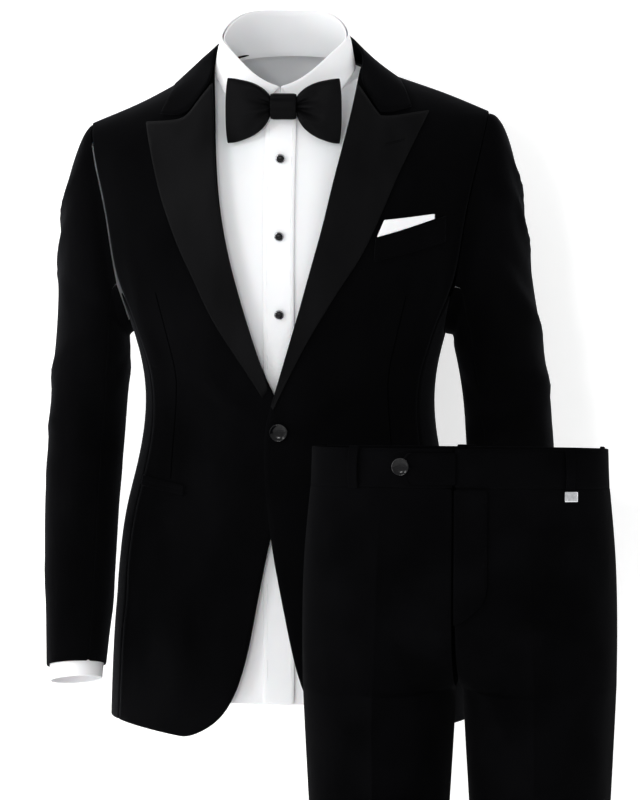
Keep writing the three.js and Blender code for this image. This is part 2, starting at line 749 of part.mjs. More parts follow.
// Pockets and the pocket square lie on the fronts
function strip(rows, columns, down, sign, out) {
  return grid(columns, down, (v, u) => {
    const step = v * (rows.length - 1);
    const x = mix(readStep(rows, 'topX', step), readStep(rows, 'lowX', step), u);
    const z = mix(readStep(rows, 'topZ', step), readStep(rows, 'lowZ', step), u);
    return skin(sign * x, z, -1, out);
  });
}
add('breast_welt', cloth(strip(breastWelt, 6, 2, 1, weltOut), wall.trim, axisCore), velvet());
add('pocket_square', cloth(strip(pocketSquare, 6, 2, 1, square.out), square.thick, axisCore), shirting());

for (const side of sides) {
  const jet = (shift) =>
    grid(7, 2, (v, u) => {
      const x = mix(hipPocket.inner, hipPocket.outer, v);
      const z = hipPocket.z - hipPocket.drop * (1 - v) + shift - u * (hipPocket.jet - gap);
      const out = hipPocket.out + hipPocket.swell * Math.sin(u * Math.PI);
      return skin(side.sign * Math.min(x, seamX(z, -1) - 1), z, -1, out);
    });
  add(`hip_jet_upper_${side.name}`, cloth(jet(hipPocket.jet), hipPocket.thick, axisCore), velvet());
  add(`hip_jet_lower_${side.name}`, cloth(jet(0), hipPocket.thick, axisCore), velvet());
}

// Buttons and studs are turned shapes facing forward
function turned(profile, x, z, y) {
  const points = profile.map(([r, h]) => new THREE.Vector2(r, h));
  const geometry = new THREE.LatheGeometry(points, 16);
  geometry.rotateX(Math.PI);
  geometry.translate(x, y, z);
  return geometry;
}

function button(radius, thick, x, z, y) {
  const profile = [
    [0, 0],
    [radius * 0.85, 0],
    [radius, thick * 0.45],
    [radius * 0.93, thick],
    [radius * 0.8, thick * 1.05],
    [radius * 0.72, thick * 0.8],
    [0, thick * 0.7],
  ];
  return turned(profile, x, z, y);
}

function fasten(name, { radius, thick, x }, z, y) {
  return add(name, button(radius, thick, x, z, y), gloss());
}
const buttonSeat = skin(frontButton.x, frontButton.z, -1, overlapLift.height + 2 * gap).y;
fasten('front_button', frontButton, frontButton.z, buttonSeat);

// Shirt: fronts, sides, back and yoke follow the jacket from inside. It touches the jacket at the
// shoulders and stands clear of it elsewhere
const insetAt = (x, z) => {
  const atShoulder = ease(-140, -60, z) * ease(75, 125, Math.abs(x));
  return mix(shirtInset, shirtAtShoulder, atShoulder);
};
const insetBack = (x, z) => mix(insetAt(x, z), shirtAtShoulder, ease(-60, 10, z));
const shirtSide = { inset: shirtInset, hem: shirt.hem, rows: 12, columns: 4 };
const neckline = (x, middle) => {
  const t = Math.min(Math.abs(x) / shirt.neckSide, 1);
  return mix(middle, shoulderHeight(shirt.neckSide), t ** 2.4);
};
const shirtTop = (middle) => (x) => Math.min(neckline(x, middle), shoulderHeight(x) - gap);

for (const side of sides) {
  const front = bodyPanel({
    sign: side.sign,
    face: -1,
    edge: () => shirtSplit + side.sign * gap,
    top: shirtTop(shirt.neckFront),
    hem: shirt.hem,
    ...shirtRows,
    columns: 6,
    inset: insetAt,
  });
  add(`shirt_front_${side.name}`, cloth(front, wall.shirt, axisCore), shirting());
  add(`shirt_side_${side.name}`, cloth(sidePanel(side, shirtSide), wall.shirt, axisCore), shirting());
}

// The back and the yoke run across from armhole to armhole
function acrossBack(rows, columns, heightAt) {
  return grid(rows, columns, (v, u) => {
    const share = mix(-1, 1, u);
    const seam = settle(0, (x) => heightAt(v, Math.abs(x)), (z) => sideEdge(z, 1) - 0.9 * gap);
    const at = towardsEdge(share) * seam;
    const z = heightAt(v, Math.abs(at));
    const point = skin(at, z, 1, -insetBack(at, z));
    point.y += yokeSeam;
    return point;
  });
}
const backTop = shirtTop(shirt.neckBack);
const backHeight = (v) => mix(shirt.hem, shirt.yoke - 2 * gap, v);
const yokeHeight = (v, x) => mix(shirt.yoke + 2 * gap, backTop(x), Math.sin((v * Math.PI) / 2));
add('shirt_back', cloth(acrossBack(7, 12, backHeight), wall.shirt, axisCore), shirting());
add('shirt_yoke', cloth(acrossBack(5, 12, yokeHeight), wall.shirt, axisCore), shirting());

// The placket lies over the meeting of the fronts and carries the studs
const placketOut = placket.out - shirtInset;
const placketRows = shirtRows.low + shirtRows.high;
const placketGrid = grid(placketRows, 2, (v, u, i) => {
  const x = mix(placket.left, placket.right, u);
  const rise = loopRise((i - shirtRows.low) / shirtRows.high);
  const low = mix(shirt.hem, armhole.base, i / shirtRows.low);
  const z = i <= shirtRows.low ? low : mix(armhole.base, placket.top, rise);
  return skin(x, z, -1, placketOut);
});
add('shirt_placket', cloth(placketGrid, wall.trim, axisCore), shirting());
stud.heights.forEach((z, index) => {
  const seat = skin(stud.x, z, -1, placketOut + 2 * gap).y;
  fasten(`stud_${index + 1}`, stud, z, seat);
});

// Shirt collar: a stand round the neck and a leaf turned down over it
const foldHeight = (angle) => read(collarFold, 'turn', 'z', angle > 180 ? 360 - angle : angle);
function neckPoint(angle, out, z) {
  const turn = radians(angle);
  return new THREE.Vector3(
    neck.middleX + (neck.halfWidth + out) * Math.sin(turn),
    neck.middleY - (neck.halfDepth + out) * Math.cos(turn),
    z,
  );
}
const neckCore = (point) => new THREE.Vector3(neck.middleX, neck.middleY, point.z);
const bandFoot = (angle) => {
  const x = neck.middleX + neck.halfWidth * Math.sin(radians(angle));
  const front = Math.max(Math.cos(radians(angle)), 0);
  const back = Math.max(-Math.cos(radians(angle)), 0);
  const middle = front > 0 ? shirt.neckFront : shirt.neckBack;
  return neckline(x, middle) + stand.foot - stand.dip * front - stand.dipBack * back;
};
const bandGrid = grid(28, 2, (v, u) => {
  const angle = mix(stand.opening, 360 - stand.opening, v);
  const flare = stand.flare + stand.flareBack * Math.max(-Math.cos(radians(angle)), 0);
  const z = mix(foldHeight(angle) - stand.below, bandFoot(angle), u);
  return neckPoint(angle, flare * u * u - stand.inset, z);
});
add('shirt_collar_stand', cloth(bandGrid, wall.shirt, neckCore), shirting());

const leafGrid = grid(32, 4, (v, u) => {
  const first = leaf.opening + leaf.cutBack * u;
  const angle = mix(first, 360 - first, v);
  const toFront = Math.max(Math.cos(radians(angle)), 0) ** 3;
  const length = leaf.back + leaf.point * toFront - leaf.side * Math.sin(radians(angle)) ** 2;
  const z = foldHeight(angle) - length * u;
  const point = neckPoint(angle, leaf.out + leaf.spread * u ** 0.7, z);
  const top = shirtTop(shirt.neckFront)(point.x);
  if (point.y < neck.middleY && z < top + 6) {
    const cover = skin(point.x, Math.min(z, top - 1), -1, leaf.cover - shirtInset);
    point.y = Math.min(point.y, cover.y);
  }
  return point;
});
add('shirt_collar_leaf', cloth(leafGrid, wall.trim, neckCore), shirting());

// A whole tube inside a sleeve, gathered in towards its end
function tubeRing(side, rows, columns, first, last, thickness, inset, insetEnd = inset) {
  const ringOf = (out) =>
    grid(rows, columns - 1, (v, u, i, j) => {
      const gather = (insetEnd - inset) * ease(0.8, 1, v);
      const point = sleevePoint(side.name, mix(first, last, v), (j * 360) / columns, out + gather);
      return new THREE.Vector3(side.sign * point.x, point.y, point.z);
    });
  return body(ringOf(inset), ringOf(inset + thickness), true);
}

// Shirt sleeves and cuffs run inside the jacket's sleeves
for (const side of sides) {
  const start = shirtInset - 3;
  const sleeve = tubeRing(side, 7, 10, 0.4, cuff.from - 0.04, wall.shirt, start, cuff.inset - 0.4);
  add(`shirt_sleeve_${side.name}`, sleeve, shirting());
  const end = tubeRing(side, 2, 16, cuff.from, cuff.to + 1, wall.trim, cuff.inset);
  add(`shirt_cuff_${side.name}`, end, shirting());
}

// Lowers the right shoulder of a finished piece
function lowerShoulder({ geometry }) {
  const points = geometry.getAttribute('position');
  for (let k = 0; k < points.count; k += 1) {
    const across = ease(droop.inner, droop.outer, points.getX(k));
    const up = ease(droop.low, droop.high, points.getZ(k));
    points.setZ(k, points.getZ(k) - droop.height * across * up);
  }
  geometry.computeVertexNormals();
}
suit.children.forEach(lowerShoulder);

const soften = (value, power) => Math.sign(value) * Math.abs(value) ** power;

// Bow tie: wings pinched at the knot, with a pleat above and below the middle
function wing({ name, sign }) {
  const count = 20;
  const rings = bowWing.map((row, index) =>
    Array.from({ length: count }, (_, k) => {
      const turn = (k * 2 * Math.PI) / count;
      const across = soften(Math.cos(turn), 0.7);
      const up = soften(Math.sin(turn), 0.85);
      const pleat = index < 4 ? 1 - bow.pleat * Math.cos(turn * 4) ** 2 : 1;
      const bulge = row.x + (index === bowWing.length - 1 ? 2.2 - 2.2 * Math.abs(up) ** 3 : 0) - 2;
      const y = bow.y - across * row.deep * pleat;
      return new THREE.Vector3(sign * bulge, y, bow.z + row.sag + up * row.high);
    }),
  );
  return { name, geometry: loft(rings) };
}
const bowParts = new THREE.Group();
bowParts.position.x = bow.knot.x;
suit.add(bowParts);
for (const { name, geometry } of sides.map(wing)) {
  const mesh = add(`bow_wing_${name}`, geometry, satin());
  mesh.position.x = (name === 'left' ? 1 : -1) * (bow.knot.half - bow.tuck);
  bowParts.add(mesh);
}

// The knot is a soft barrel across the front
const knotRings = [-1, -0.82, -0.3, 0.3, 0.82, 1].map((share) =>
  Array.from({ length: 14 }, (_, k) => {
    const turn = (k * 2 * Math.PI) / 14;
    const soft = 1 - 0.16 * Math.abs(share) ** 6;
    const high = bow.knot.high * (1 - bow.knot.waist * (1 - share * share));
    const up = soften(Math.sin(turn), 0.6) * high;
    const across = soften(Math.cos(turn), 0.8) * bow.knot.deep * soft;
    return new THREE.Vector3(share * bow.knot.half, bow.y - 2 - across, bow.z + up * soft);
  }),
);
bowParts.add(add('bow_knot', loft(knotRings), satin()));

// Trousers, built about the middle of their waist

const pair = new THREE.Group();
pair.position.set(trousers.x, trousers.y, trousers.z);
suit.add(pair);
function hang(name, geometry, material) {
  const points = geometry.getAttribute('position');
  for (let k = 0; k < points.count; k += 1) {
    const back = points.getY(k) + hipAt(0, 'front');
    const dip = lean.slope * back * ease(lean.from, lean.to, points.getZ(k));
    points.setZ(k, points.getZ(k) - dip);
  }
  pair.add(add(name, geometry, material));
}
const hipAt = (z, column) => read(hips, 'z', column, z);
const legAt = (z, column) => read(leg, 'z', column, z);

// A point of a leg's front (face -1) or back (face 1): u runs from the middle or inseam to the outseam
function legPoint(sign, face, u, z, out = 0) {
  const name = face < 0 ? 'front' : 'back';
  const top = trousers.crotch + trousers.rise;
  const fall = clamp((top - z) / trousers.rise, 0, 1);
  const toLeg = 1 - Math.sqrt(1 - fall * fall);
  const quarter = (u * Math.PI) / 2;
  const hip = new THREE.Vector2(
    (hipAt(z, 'half') + out) * Math.sin(quarter) ** roundness,
    face * (hipAt(z, name) + out) * Math.cos(quarter) ** roundness,
  );
  const turn = u * Math.PI;
  const ridge = crease.depth * Math.exp(-(((u - 0.5) / crease.width) ** 2)) * ease(-40, -150, z);
  const reach = Math.sin(turn) ** 0.85 * (legAt(z, name) + out - crease.depth + ridge);
  const across = legAt(z, 'middle') - (legAt(z, 'half') + out) * Math.cos(turn);
  const tube = new THREE.Vector2(across, face * reach);
  const point = hip.lerp(tube, toLeg);
  if (toLeg < 1) point.y += face * ridge * 0.4 * (1 - toLeg) * Math.sin(turn);
  return new THREE.Vector3(sign * point.x, point.y, z);
}
const legCore = (sign) => (point) =>
  new THREE.Vector3(sign * (point.z < trousers.crotch ? legAt(point.z, 'middle') : 0), 0, point.z);

// Height of a row of a leg panel
function legHeight(row) {
  const top = trousers.crotch + trousers.rise;
  if (row <= legRows.hip) return mix(-trousers.band - gap, top, row / legRows.hip);
  const down = row - legRows.hip;
  const quarter = (down / legRows.fork) * (Math.PI / 2);
  if (down <= legRows.fork) return mix(top, trousers.crotch, Math.sin(quarter));
  return mix(trousers.crotch, trousers.hem, ((down - legRows.fork) / legRows.leg) ** 1.3);
}

for (const { name, sign } of sides) {
  for (const face of [-1, 1]) {
    const panel = grid(legRows.hip + legRows.fork + legRows.leg, 8, (v, u, i) => {
      const z = legHeight(i);
      const edge = 0.004;
      const point = legPoint(sign, face, mix(edge, 1 - edge, u), z);
      return point.add(new THREE.Vector3(sign * gap, face * gap * 2, 0));
    });
    const part = face < 0 ? 'front' : 'back';
    hang(`trouser_${part}_${name}`, cloth(panel, wall.trouser, legCore(sign)), wool());
  }
}

// A point of the waist at an angle from the front, and walls round it
function waistPoint(angle, z, out = 0) {
  const turn = radians(angle);
  const face = Math.cos(turn) > 0 ? 'front' : 'back';
  return new THREE.Vector3(
    (hipAt(z, 'half') + out) * soften(Math.sin(turn), roundness),
    -(hipAt(z, face) + out) * soften(Math.cos(turn), roundness),
    z,
  );
}
const waistCore = (point) => new THREE.Vector3(0, 0, point.z);
for (const { name, sign } of sides) {
  const bandGrid = grid(16, 2, (v, u) =>
    waistPoint(sign * mix(0.25, 179.75, v), mix(0, -trousers.band + gap, u), band.out),
  );
  hang(`waistband_${name}`, cloth(bandGrid, band.wall, waistCore), wool());
}

// The extension tab crosses the front and buttons on the right side
const angleAt = (x, z) => THREE.MathUtils.radToDeg(Math.asin(soften(x / hipAt(z, 'half'), 1 / roundness)));
const tabGrid = grid(8, 2, (v, u) => {
  const x = mix(tab.from, tab.to, v);
  const point = 1 - Math.max(0, 1 - v * 6) * Math.abs(u - 0.5) * 0.5;
  return waistPoint(angleAt(x * point, trouserButton.z), mix(tab.top, tab.low, u), band.out + tab.out);
});
hang('waistband_tab', cloth(tabGrid, tab.thick, waistCore), wool());
const onTab = band.out + tab.out + 8 * gap;
const tabFace = waistPoint(angleAt(trouserButton.x, trouserButton.z), trouserButton.z, onTab).y;
const { radius, thick } = trouserButton;
hang('trouser_button', button(radius, thick, trouserButton.x, trouserButton.z, tabFace), gloss());

// Belt loops stand off the band, sewn at top and bottom
const meanRadius = (hipAt(0, 'half') + hipAt(0, 'front')) / 2;
beltLoopAngles.forEach((angle, index) => {
  const half = THREE.MathUtils.radToDeg(beltLoop.wide / 2 / meanRadius);
  const loop = grid(6, 2, (v, u) => {
    const z = beltLoop.top - v * beltLoop.high;
    const away = beltLoop.out + beltLoop.bow * Math.sin(Math.PI * v) ** 0.6;
    return waistPoint(mix(angle - half, angle + half, u), z, band.out + away);
  });
  hang(`belt_loop_${index + 1}`, cloth(loop, beltLoop.thick, waistCore), wool());
});

// The fly's overlap ends in a curve, on the left front
const flyGrid = grid(10, 3, (v, u) => {
  const z = mix(fly.top, fly.low, v);
  const round = Math.sqrt(Math.max(1 - ease(0.72, 1, v) ** 2, 0.02));
  const x = 0.6 + fly.wide * u * round;
  return legPoint(1, -1, angleAt(x, z) / 90, z).add(new THREE.Vector3(gap, -fly.out, 0));
});
hang('trouser_fly', cloth(flyGrid, fly.thick, waistCore), wool());

// A small plain metal plate below the band on the left hip
const plateGrid = grid(2, 2, (v, u) => {
  const z = plate.z + mix(0.5, -0.5, u) * plate.high;
  const x = plate.x + mix(-0.5, 0.5, v) * plate.wide;
  return legPoint(1, -1, angleAt(x, z) / 90, z, plate.thick + 4 * gap);
});
hang('hip_plate', cloth(plateGrid, plate.thick, waistCore), silver());

export default suit;
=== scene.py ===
"""An evening suit filled out as if worn: velvet dinner jacket, dress shirt, bow tie and trousers."""

import math

import bmesh
import bpy
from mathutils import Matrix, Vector, noise
from mathutils.bvhtree import BVHTree


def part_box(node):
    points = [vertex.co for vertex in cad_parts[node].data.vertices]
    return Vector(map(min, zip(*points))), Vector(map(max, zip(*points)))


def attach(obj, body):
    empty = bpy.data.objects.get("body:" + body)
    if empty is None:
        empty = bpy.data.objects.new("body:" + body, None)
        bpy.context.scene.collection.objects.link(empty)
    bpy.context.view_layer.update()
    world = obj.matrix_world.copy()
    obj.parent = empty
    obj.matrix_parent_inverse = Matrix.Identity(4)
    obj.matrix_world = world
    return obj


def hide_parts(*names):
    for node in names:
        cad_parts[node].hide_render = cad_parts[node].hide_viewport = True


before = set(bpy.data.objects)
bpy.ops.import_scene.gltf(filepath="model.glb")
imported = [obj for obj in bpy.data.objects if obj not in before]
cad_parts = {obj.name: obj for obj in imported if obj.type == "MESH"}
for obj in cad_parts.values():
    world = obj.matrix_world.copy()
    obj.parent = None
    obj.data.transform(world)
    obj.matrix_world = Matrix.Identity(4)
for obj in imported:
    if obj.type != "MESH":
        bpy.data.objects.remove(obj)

bl_info = {
    "name": "Evening suit",
    "version": (1, 0, 0),
    "blender": (4, 5, 0),
    "location": "View3D > Sidebar > Suit",
    "description": "Dresses the fixed pieces of an evening suit in velvet, satin, shirting and wool",
    "category": "Object",
}

MM = 0.001
# Rims of the cloth are narrower than this
RIM = 3.6 * MM
SIDES = {"right": -1, "left": 1}
# Middle of the trousers' waist
WAIST = (209.6 * MM, -233.9 * MM, -392 * MM)
HEM = WAIST[2] - 1062 * MM

# Creases. Each runs between two points seen from the front, and its depth is positive for a ridge
JACKET_FOLDS = [
    # from x, z, to x, z, depth, half width, face
    (-116, -318, -26, -392, 4.2, 15, "front"),
    (-96, -352, -24, -404, -2.6, 10, "front"),
    (-84, -452, -22, -412, 2.8, 13, "front"),
    (-60, -486, -14, -425, -2.0, 9, "front"),
    (104, -338, 14, -394, 3.6, 15, "front"),
    (86, -372, 16, -405, -2.4, 10, "front"),
    (92, -455, 20, -415, 2.6, 13, "front"),
    (-172, -190, -150, -330, 3.4, 13, "front"),
    (170, -190, 150, -330, 3.2, 13, "front"),
    (-150, -505, -62, -560, 2.2, 26, "front"),
    (-128, -590, -96, -718, 2.8, 28, "front"),
    (-172, -560, -166, -700, -2.2, 20, "front"),
    (130, -560, 120, -715, 2.6, 26, "front"),
    (-176, -150, -148, -318, 5.0, 15, "back"),
    (178, -160, 146, -322, 4.6, 15, "back"),
    (-70, -330, 64, -348, -3.4, 15, "back"),
    (-96, -368, 88, -382, 3.2, 14, "back"),
    (-84, -410, 92, -402, -2.6, 13, "back"),
    (-118, -470, -92, -700, 3.4, 30, "back"),
    (112, -480, 84, -706, 3.0, 28, "back"),
    (-14, -500, -4, -712, -3.0, 26, "back"),
]
# Sleeve creases: height, turn and length along the sleeve, all as seen from outside the arm
SLEEVE_FOLDS = {
    "right": [
        # z, angle, rise across, half length in degrees, half width, depth
        (-150, 35, 70, 52, 13, 3.4),
        (-215, 20, 95, 60, 12, 3.0),
        (-262, 95, -60, 46, 12, -2.8),
        (-320, 60, 80, 62, 13, 3.8),
        (-352, 100, 46, 54, 11, -3.4),
        (-388, 70, 34, 66, 11, 3.6),
        (-420, 104, -26, 50, 10, -3.0),
        (-446, 62, 18, 52, 11, 2.4),
        (-330, 250, 30, 60, 12, 3.4),
        (-372, 262, -24, 52, 12, -3.0),
        (-560, 60, 40, 60, 22, 1.8),
        (-610, 230, -30, 60, 20, 1.6),
    ],
    "left": [
        (-118, 22, 84, 46, 14, 4.4),
        (-170, 30, 92, 56, 14, 4.6),
        (-214, 62, 70, 50, 12, -3.8),
        (-262, 40, 88, 58, 13, 4.2),
        (-312, 84, 52, 52, 12, -4.2),
        (-340, 42, 46, 64, 12, 5.2),
        (-362, 112, 20, 50, 10, -4.4),
        (-384, 66, -14, 66, 11, 5.4),
        (-404, 100, -32, 54, 10, -4.6),
        (-428, 70, -46, 60, 12, 4.2),
        (-370, 250, 30, 60, 13, 4.6),
        (-408, 262, -24, 52, 12, -4.0),
        (-570, 60, 40, 60, 22, 2.0),
    ],
}
TROUSER_FOLDS = [
    # from x, z, to x, z about the waist's middle, depth, half width, face
    (-92, -52, -84, -160, 1.6, 14, "front"),
    (94, -52, 86, -160, 1.6, 14, "front"),
    (-8, -248, -72, -206, -2.6, 12, "front"),
    (10, -244, 76, -204, -2.4, 12, "front"),
    (-12, -272, -80, -262, 2.4, 12, "front"),
    (14, -270, 78, -258, 2.2, 12, "front"),
    (-20, -290, -66, -356, -2.0, 14, "front"),
    (22, -288, 64, -350, -2.0, 14, "front"),
    (-134, -600, -44, -618, 2.4, 20, "front"),
    (42, -640, 130, -622, 2.2, 20, "front"),
    (-10, -258, -84, -212, 3.6, 15, "back"),
    (12, -256, 88, -216, 3.4, 15, "back"),
    (-24, -330, -120, -300, -3.0, 14, "back"),
    (26, -334, 118, -306, -2.8, 14, "back"),
    (-130, -612, -46, -596, 3.2, 16, "back"),
    (46, -600, 128, -620, 3.0, 16, "back"),
    (-126, -660, -50, -646, -2.6, 14, "back"),
    (50, -648, 128, -668, -2.4, 14, "back"),
]
SHIRT_FOLDS = [
    (-58, -230, -34, -420, 1.8, 12, "front"),
    (52, -210, 30, -400, -1.6, 12, "front"),
    (-70, -120, -44, -260, -1.6, 13, "front"),
    (40, -480, 60, -690, 1.8, 14, "front"),
    (-36, -520, -52, -700, 1.6, 14, "front"),
    (-90, -90, 90, -108, -2.2, 12, "back"),
]
# Pressed creases of a leg, on both faces: place across and height about the waist's middle
PRESSED = [(80, -40), (88.6, -274), (90, -1062)]
PRESSED_DEPTH = 3.0 * MM
# Distance from the crease over which it dies away, and the length over which it begins below the waist
PRESSED_REACH = 8 * MM
PRESSED_START = 90 * MM
# Pleats of the bow tie's wings: direction from the knot, half width in degrees, depth, reach
PLEATS = {
    "right": [
        (16, 9, -3.4, 40),
        (-12, 9, 2.6, 46),
        (-33, 10, -2.6, 38),
        (42, 12, 2.0, 50),
        (-56, 10, 1.8, 44),
    ],
    "left": [
        (18, 8, -3.4, 34),
        (2, 7, 2.4, 44),
        (-15, 8, -3.2, 38),
        (-38, 11, 2.6, 50),
        (44, 12, 2.2, 50),
    ],
}
# Sewn lines seen from the front, across and height
DARTS = {
    "right": [
        (-142.7, -244),
        (-132.2, -287),
        (-121.5, -333),
        (-120.7, -367),
        (-124.9, -424),
        (-126.6, -456),
    ],
    "left": [(140, -246), (130, -288), (120, -333), (119, -367), (123, -424), (125, -456)],
}
LAPEL_HOLE = [(115.5, -77.2), (136.6, -72)]
TAB_HOLE = [(-47, -19.4), (-38.5, -19.8)]
FLY_STITCHES = [(33.6, -50), (33.8, -104), (33.2, -150), (29.4, -166), (20, -176.5), (6, -182.5)]


class SuitSizes(bpy.types.PropertyGroup):
    """Sizes of the cloth's finer form."""

    rounding: bpy.props.IntProperty(
        name="Rounding", description="How many times the cloth is smoothed", default=2, min=1, max=3
    )
    fold_depth: bpy.props.FloatProperty(
        name="Fold depth", description="Depth of the creases against their worn depth", default=1.0
    )
    seam_cover: bpy.props.FloatProperty(
        name="Seam cover",
        description="How far each rim reaches over a seam",
        default=0.32 * MM,
        subtype="DISTANCE",
        unit="LENGTH",
    )
    thread: bpy.props.FloatProperty(
        name="Thread",
        description="Half width of a sewn line",
        default=0.35 * MM,
        subtype="DISTANCE",
        unit="LENGTH",
    )
    stitch: bpy.props.FloatProperty(
        name="Stitch",
        description="Length of one stitch",
        default=2.6 * MM,
        subtype="DISTANCE",
        unit="LENGTH",
    )


class SuitColours(bpy.types.PropertyGroup):
    """Colours of the cloths and trims."""

    velvet: bpy.props.FloatVectorProperty(
        name="Velvet", description="Nap of the jacket", default=(0.0016, 0.0016, 0.0018), subtype="COLOR"
    )
    satin: bpy.props.FloatVectorProperty(
        name="Satin", description="Lapels and bow tie", default=(0.003, 0.003, 0.0033), subtype="COLOR"
    )
    wool: bpy.props.FloatVectorProperty(
        name="Wool", description="Trousers", default=(0.0014, 0.0014, 0.0016), subtype="COLOR"
    )
    shirting: bpy.props.FloatVectorProperty(
        name="Shirting", description="Shirt and pocket square", default=(0.86, 0.865, 0.88), subtype="COLOR"
    )
    metal: bpy.props.FloatVectorProperty(
        name="Metal", description="Stud rims and plate", default=(0.62, 0.63, 0.65), subtype="COLOR"
    )


def sizes():
    return bpy.context.scene.suit_sizes


def colours():
    return bpy.context.scene.suit_colours


# Finishes


class Finish:
    """A node material built around one principled shader."""

    def __init__(self, name):
        self.material = bpy.data.materials.new(name)
        self.material.use_nodes = True
        self.nodes = self.material.node_tree.nodes
        self.shader = self.nodes["Principled BSDF"]

    def node(self, kind, **values):
        made = self.nodes.new(kind)
        for key, value in values.items():
            if key in made.inputs:
                made.inputs[key].default_value = value
            else:
                setattr(made, key, value)
        return made

    def link(self, source, output, target, socket):
        self.material.node_tree.links.new(source.outputs[output], target.inputs[socket])

    def set(self, **values):
        for key, value in values.items():
            self.shader.inputs[key.replace("_", " ")].default_value = value

    def space(self, scale=(1, 1, 1), turn=(0, 0, 0)):
        coordinate = self.node("ShaderNodeTexCoord")
        mapping = self.node("ShaderNodeMapping")
        mapping.inputs["Scale"].default_value = scale
        mapping.inputs["Rotation"].default_value = turn
        self.link(coordinate, "Object", mapping, "Vector")
        return mapping

    def ramp(self, source, output, low, high, start=0.3, end=0.7):
        ramp = self.node("ShaderNodeValToRGB")
        ramp.color_ramp.elements[0].position = start
        ramp.color_ramp.elements[1].position = end
        ramp.color_ramp.elements[0].color = (*low, 1)
        ramp.color_ramp.elements[1].color = (*high, 1)
        self.link(source, output, ramp, "Fac")
        return ramp

    def bump(self, layers):
        """Stacks bumps, each a source, its output, strength and height in metres."""
        last = None
        for source, output, strength, height in layers:
            bump = self.node("ShaderNodeBump", Strength=strength, Distance=height)
            self.link(source, output, bump, "Height")
            if last:
                self.link(last, "Normal", bump, "Normal")
            last = bump
        self.link(last, "Normal", self.shader, "Normal")


def scaled(colour, share):
    return tuple(value * share for value in colour)


def velvet(name="velvet", colour=None, sheen=0.06):
    finish = Finish(name)
    base = colour or colours().velvet
    pile = finish.node("ShaderNodeTexNoise", Scale=2600.0, Detail=2.0, Roughness=0.6)
    finish.link(finish.space((1, 1, 0.45)), "Vector", pile, "Vector")
    brushed = finish.node("ShaderNodeTexNoise", Scale=9.0, Detail=3.0, Roughness=0.55)
    finish.link(finish.space((1, 1, 0.5)), "Vector", brushed, "Vector")
    tone = finish.ramp(brushed, "Fac", scaled(base, 0.7), scaled(base, 1.6))
    finish.link(tone, "Color", finish.shader, "Base Color")
    rough = finish.ramp(brushed, "Fac", (0.86,) * 3, (0.98,) * 3)
    finish.link(rough, "Color", finish.shader, "Roughness")
    finish.set(Sheen_Weight=sheen, Sheen_Roughness=0.35, Specular_IOR_Level=0.003)
    finish.shader.inputs["Sheen Tint"].default_value = (0.62, 0.64, 0.7, 1)
    finish.bump([(brushed, "Fac", 0.18, 0.0012), (pile, "Fac", 0.5, 0.0003)])
    return finish.material


def wool():
    finish = Finish("wool")
    base = colours().wool
    warp = finish.node("ShaderNodeTexWave", Scale=420.0, Distortion=0.4, Detail=1.0)
    finish.link(finish.space(turn=(0, math.radians(38), 0)), "Vector", warp, "Vector")
    fuzz = finish.node("ShaderNodeTexNoise", Scale=900.0, Detail=2.0)
    finish.link(finish.space(), "Vector", fuzz, "Vector")
    patch = finish.node("ShaderNodeTexNoise", Scale=14.0, Detail=3.0)
    finish.link(finish.space(), "Vector", patch, "Vector")
    tone = finish.ramp(patch, "Fac", scaled(base, 0.75), scaled(base, 1.5))
    finish.link(tone, "Color", finish.shader, "Base Color")
    rough = finish.ramp(patch, "Fac", (0.8,) * 3, (0.92,) * 3)
    finish.link(rough, "Color", finish.shader, "Roughness")
    finish.set(Sheen_Weight=0.015, Sheen_Roughness=0.4, Specular_IOR_Level=0.003)
    finish.shader.inputs["Sheen Tint"].default_value = (0.6, 0.61, 0.65, 1)
    finish.bump([(warp, "Fac", 0.25, 0.0003), (fuzz, "Fac", 0.3, 0.0003)])
    return finish.material


def satin():
    finish = Finish("satin")
    base = colours().satin
    thread = finish.node("ShaderNodeTexWave", Scale=900.0, Distortion=0.6, Detail=2.0)
    finish.link(finish.space(turn=(0, math.radians(24), 0)), "Vector", thread, "Vector")
    shade = finish.node("ShaderNodeTexNoise", Scale=22.0, Detail=3.0, Roughness=0.5)
    finish.link(finish.space((1, 1, 0.4)), "Vector", shade, "Vector")
    tone = finish.ramp(shade, "Fac", scaled(base, 0.8), scaled(base, 1.5))
    finish.link(tone, "Color", finish.shader, "Base Color")
    rough = finish.ramp(shade, "Fac", (0.36,) * 3, (0.46,) * 3)
    finish.link(rough, "Color", finish.shader, "Roughness")
    finish.set(Specular_IOR_Level=0.022, Anisotropic=0.45)
    finish.bump([(shade, "Fac", 0.1, 0.001), (thread, "Fac", 0.12, 0.0002)])
    return finish.material


def shirting():
    finish = Finish("shirting")
    base = colours().shirting
    warp = finish.node("ShaderNodeTexWave", Scale=620.0, Distortion=0.3)
    finish.link(finish.space(), "Vector", warp, "Vector")
    weft = finish.node("ShaderNodeTexWave", Scale=620.0, Distortion=0.3, bands_direction="Z")
    finish.link(finish.space(), "Vector", weft, "Vector")
    soft = finish.node("ShaderNodeTexNoise", Scale=16.0, Detail=3.0)
    finish.link(finish.space(), "Vector", soft, "Vector")
    tone = finish.ramp(soft, "Fac", scaled(base, 0.97), base)
    finish.link(tone, "Color", finish.shader, "Base Color")
    rough = finish.ramp(soft, "Fac", (0.74,) * 3, (0.84,) * 3)
    finish.link(rough, "Color", finish.shader, "Roughness")
    finish.set(Specular_IOR_Level=0.3, Sheen_Weight=0.1, Subsurface_Weight=0.08, Subsurface_Scale=0.002)
    finish.bump([(soft, "Fac", 0.12, 0.0012), (warp, "Fac", 0.1, 0.0002), (weft, "Fac", 0.1, 0.0002)])
    return finish.material


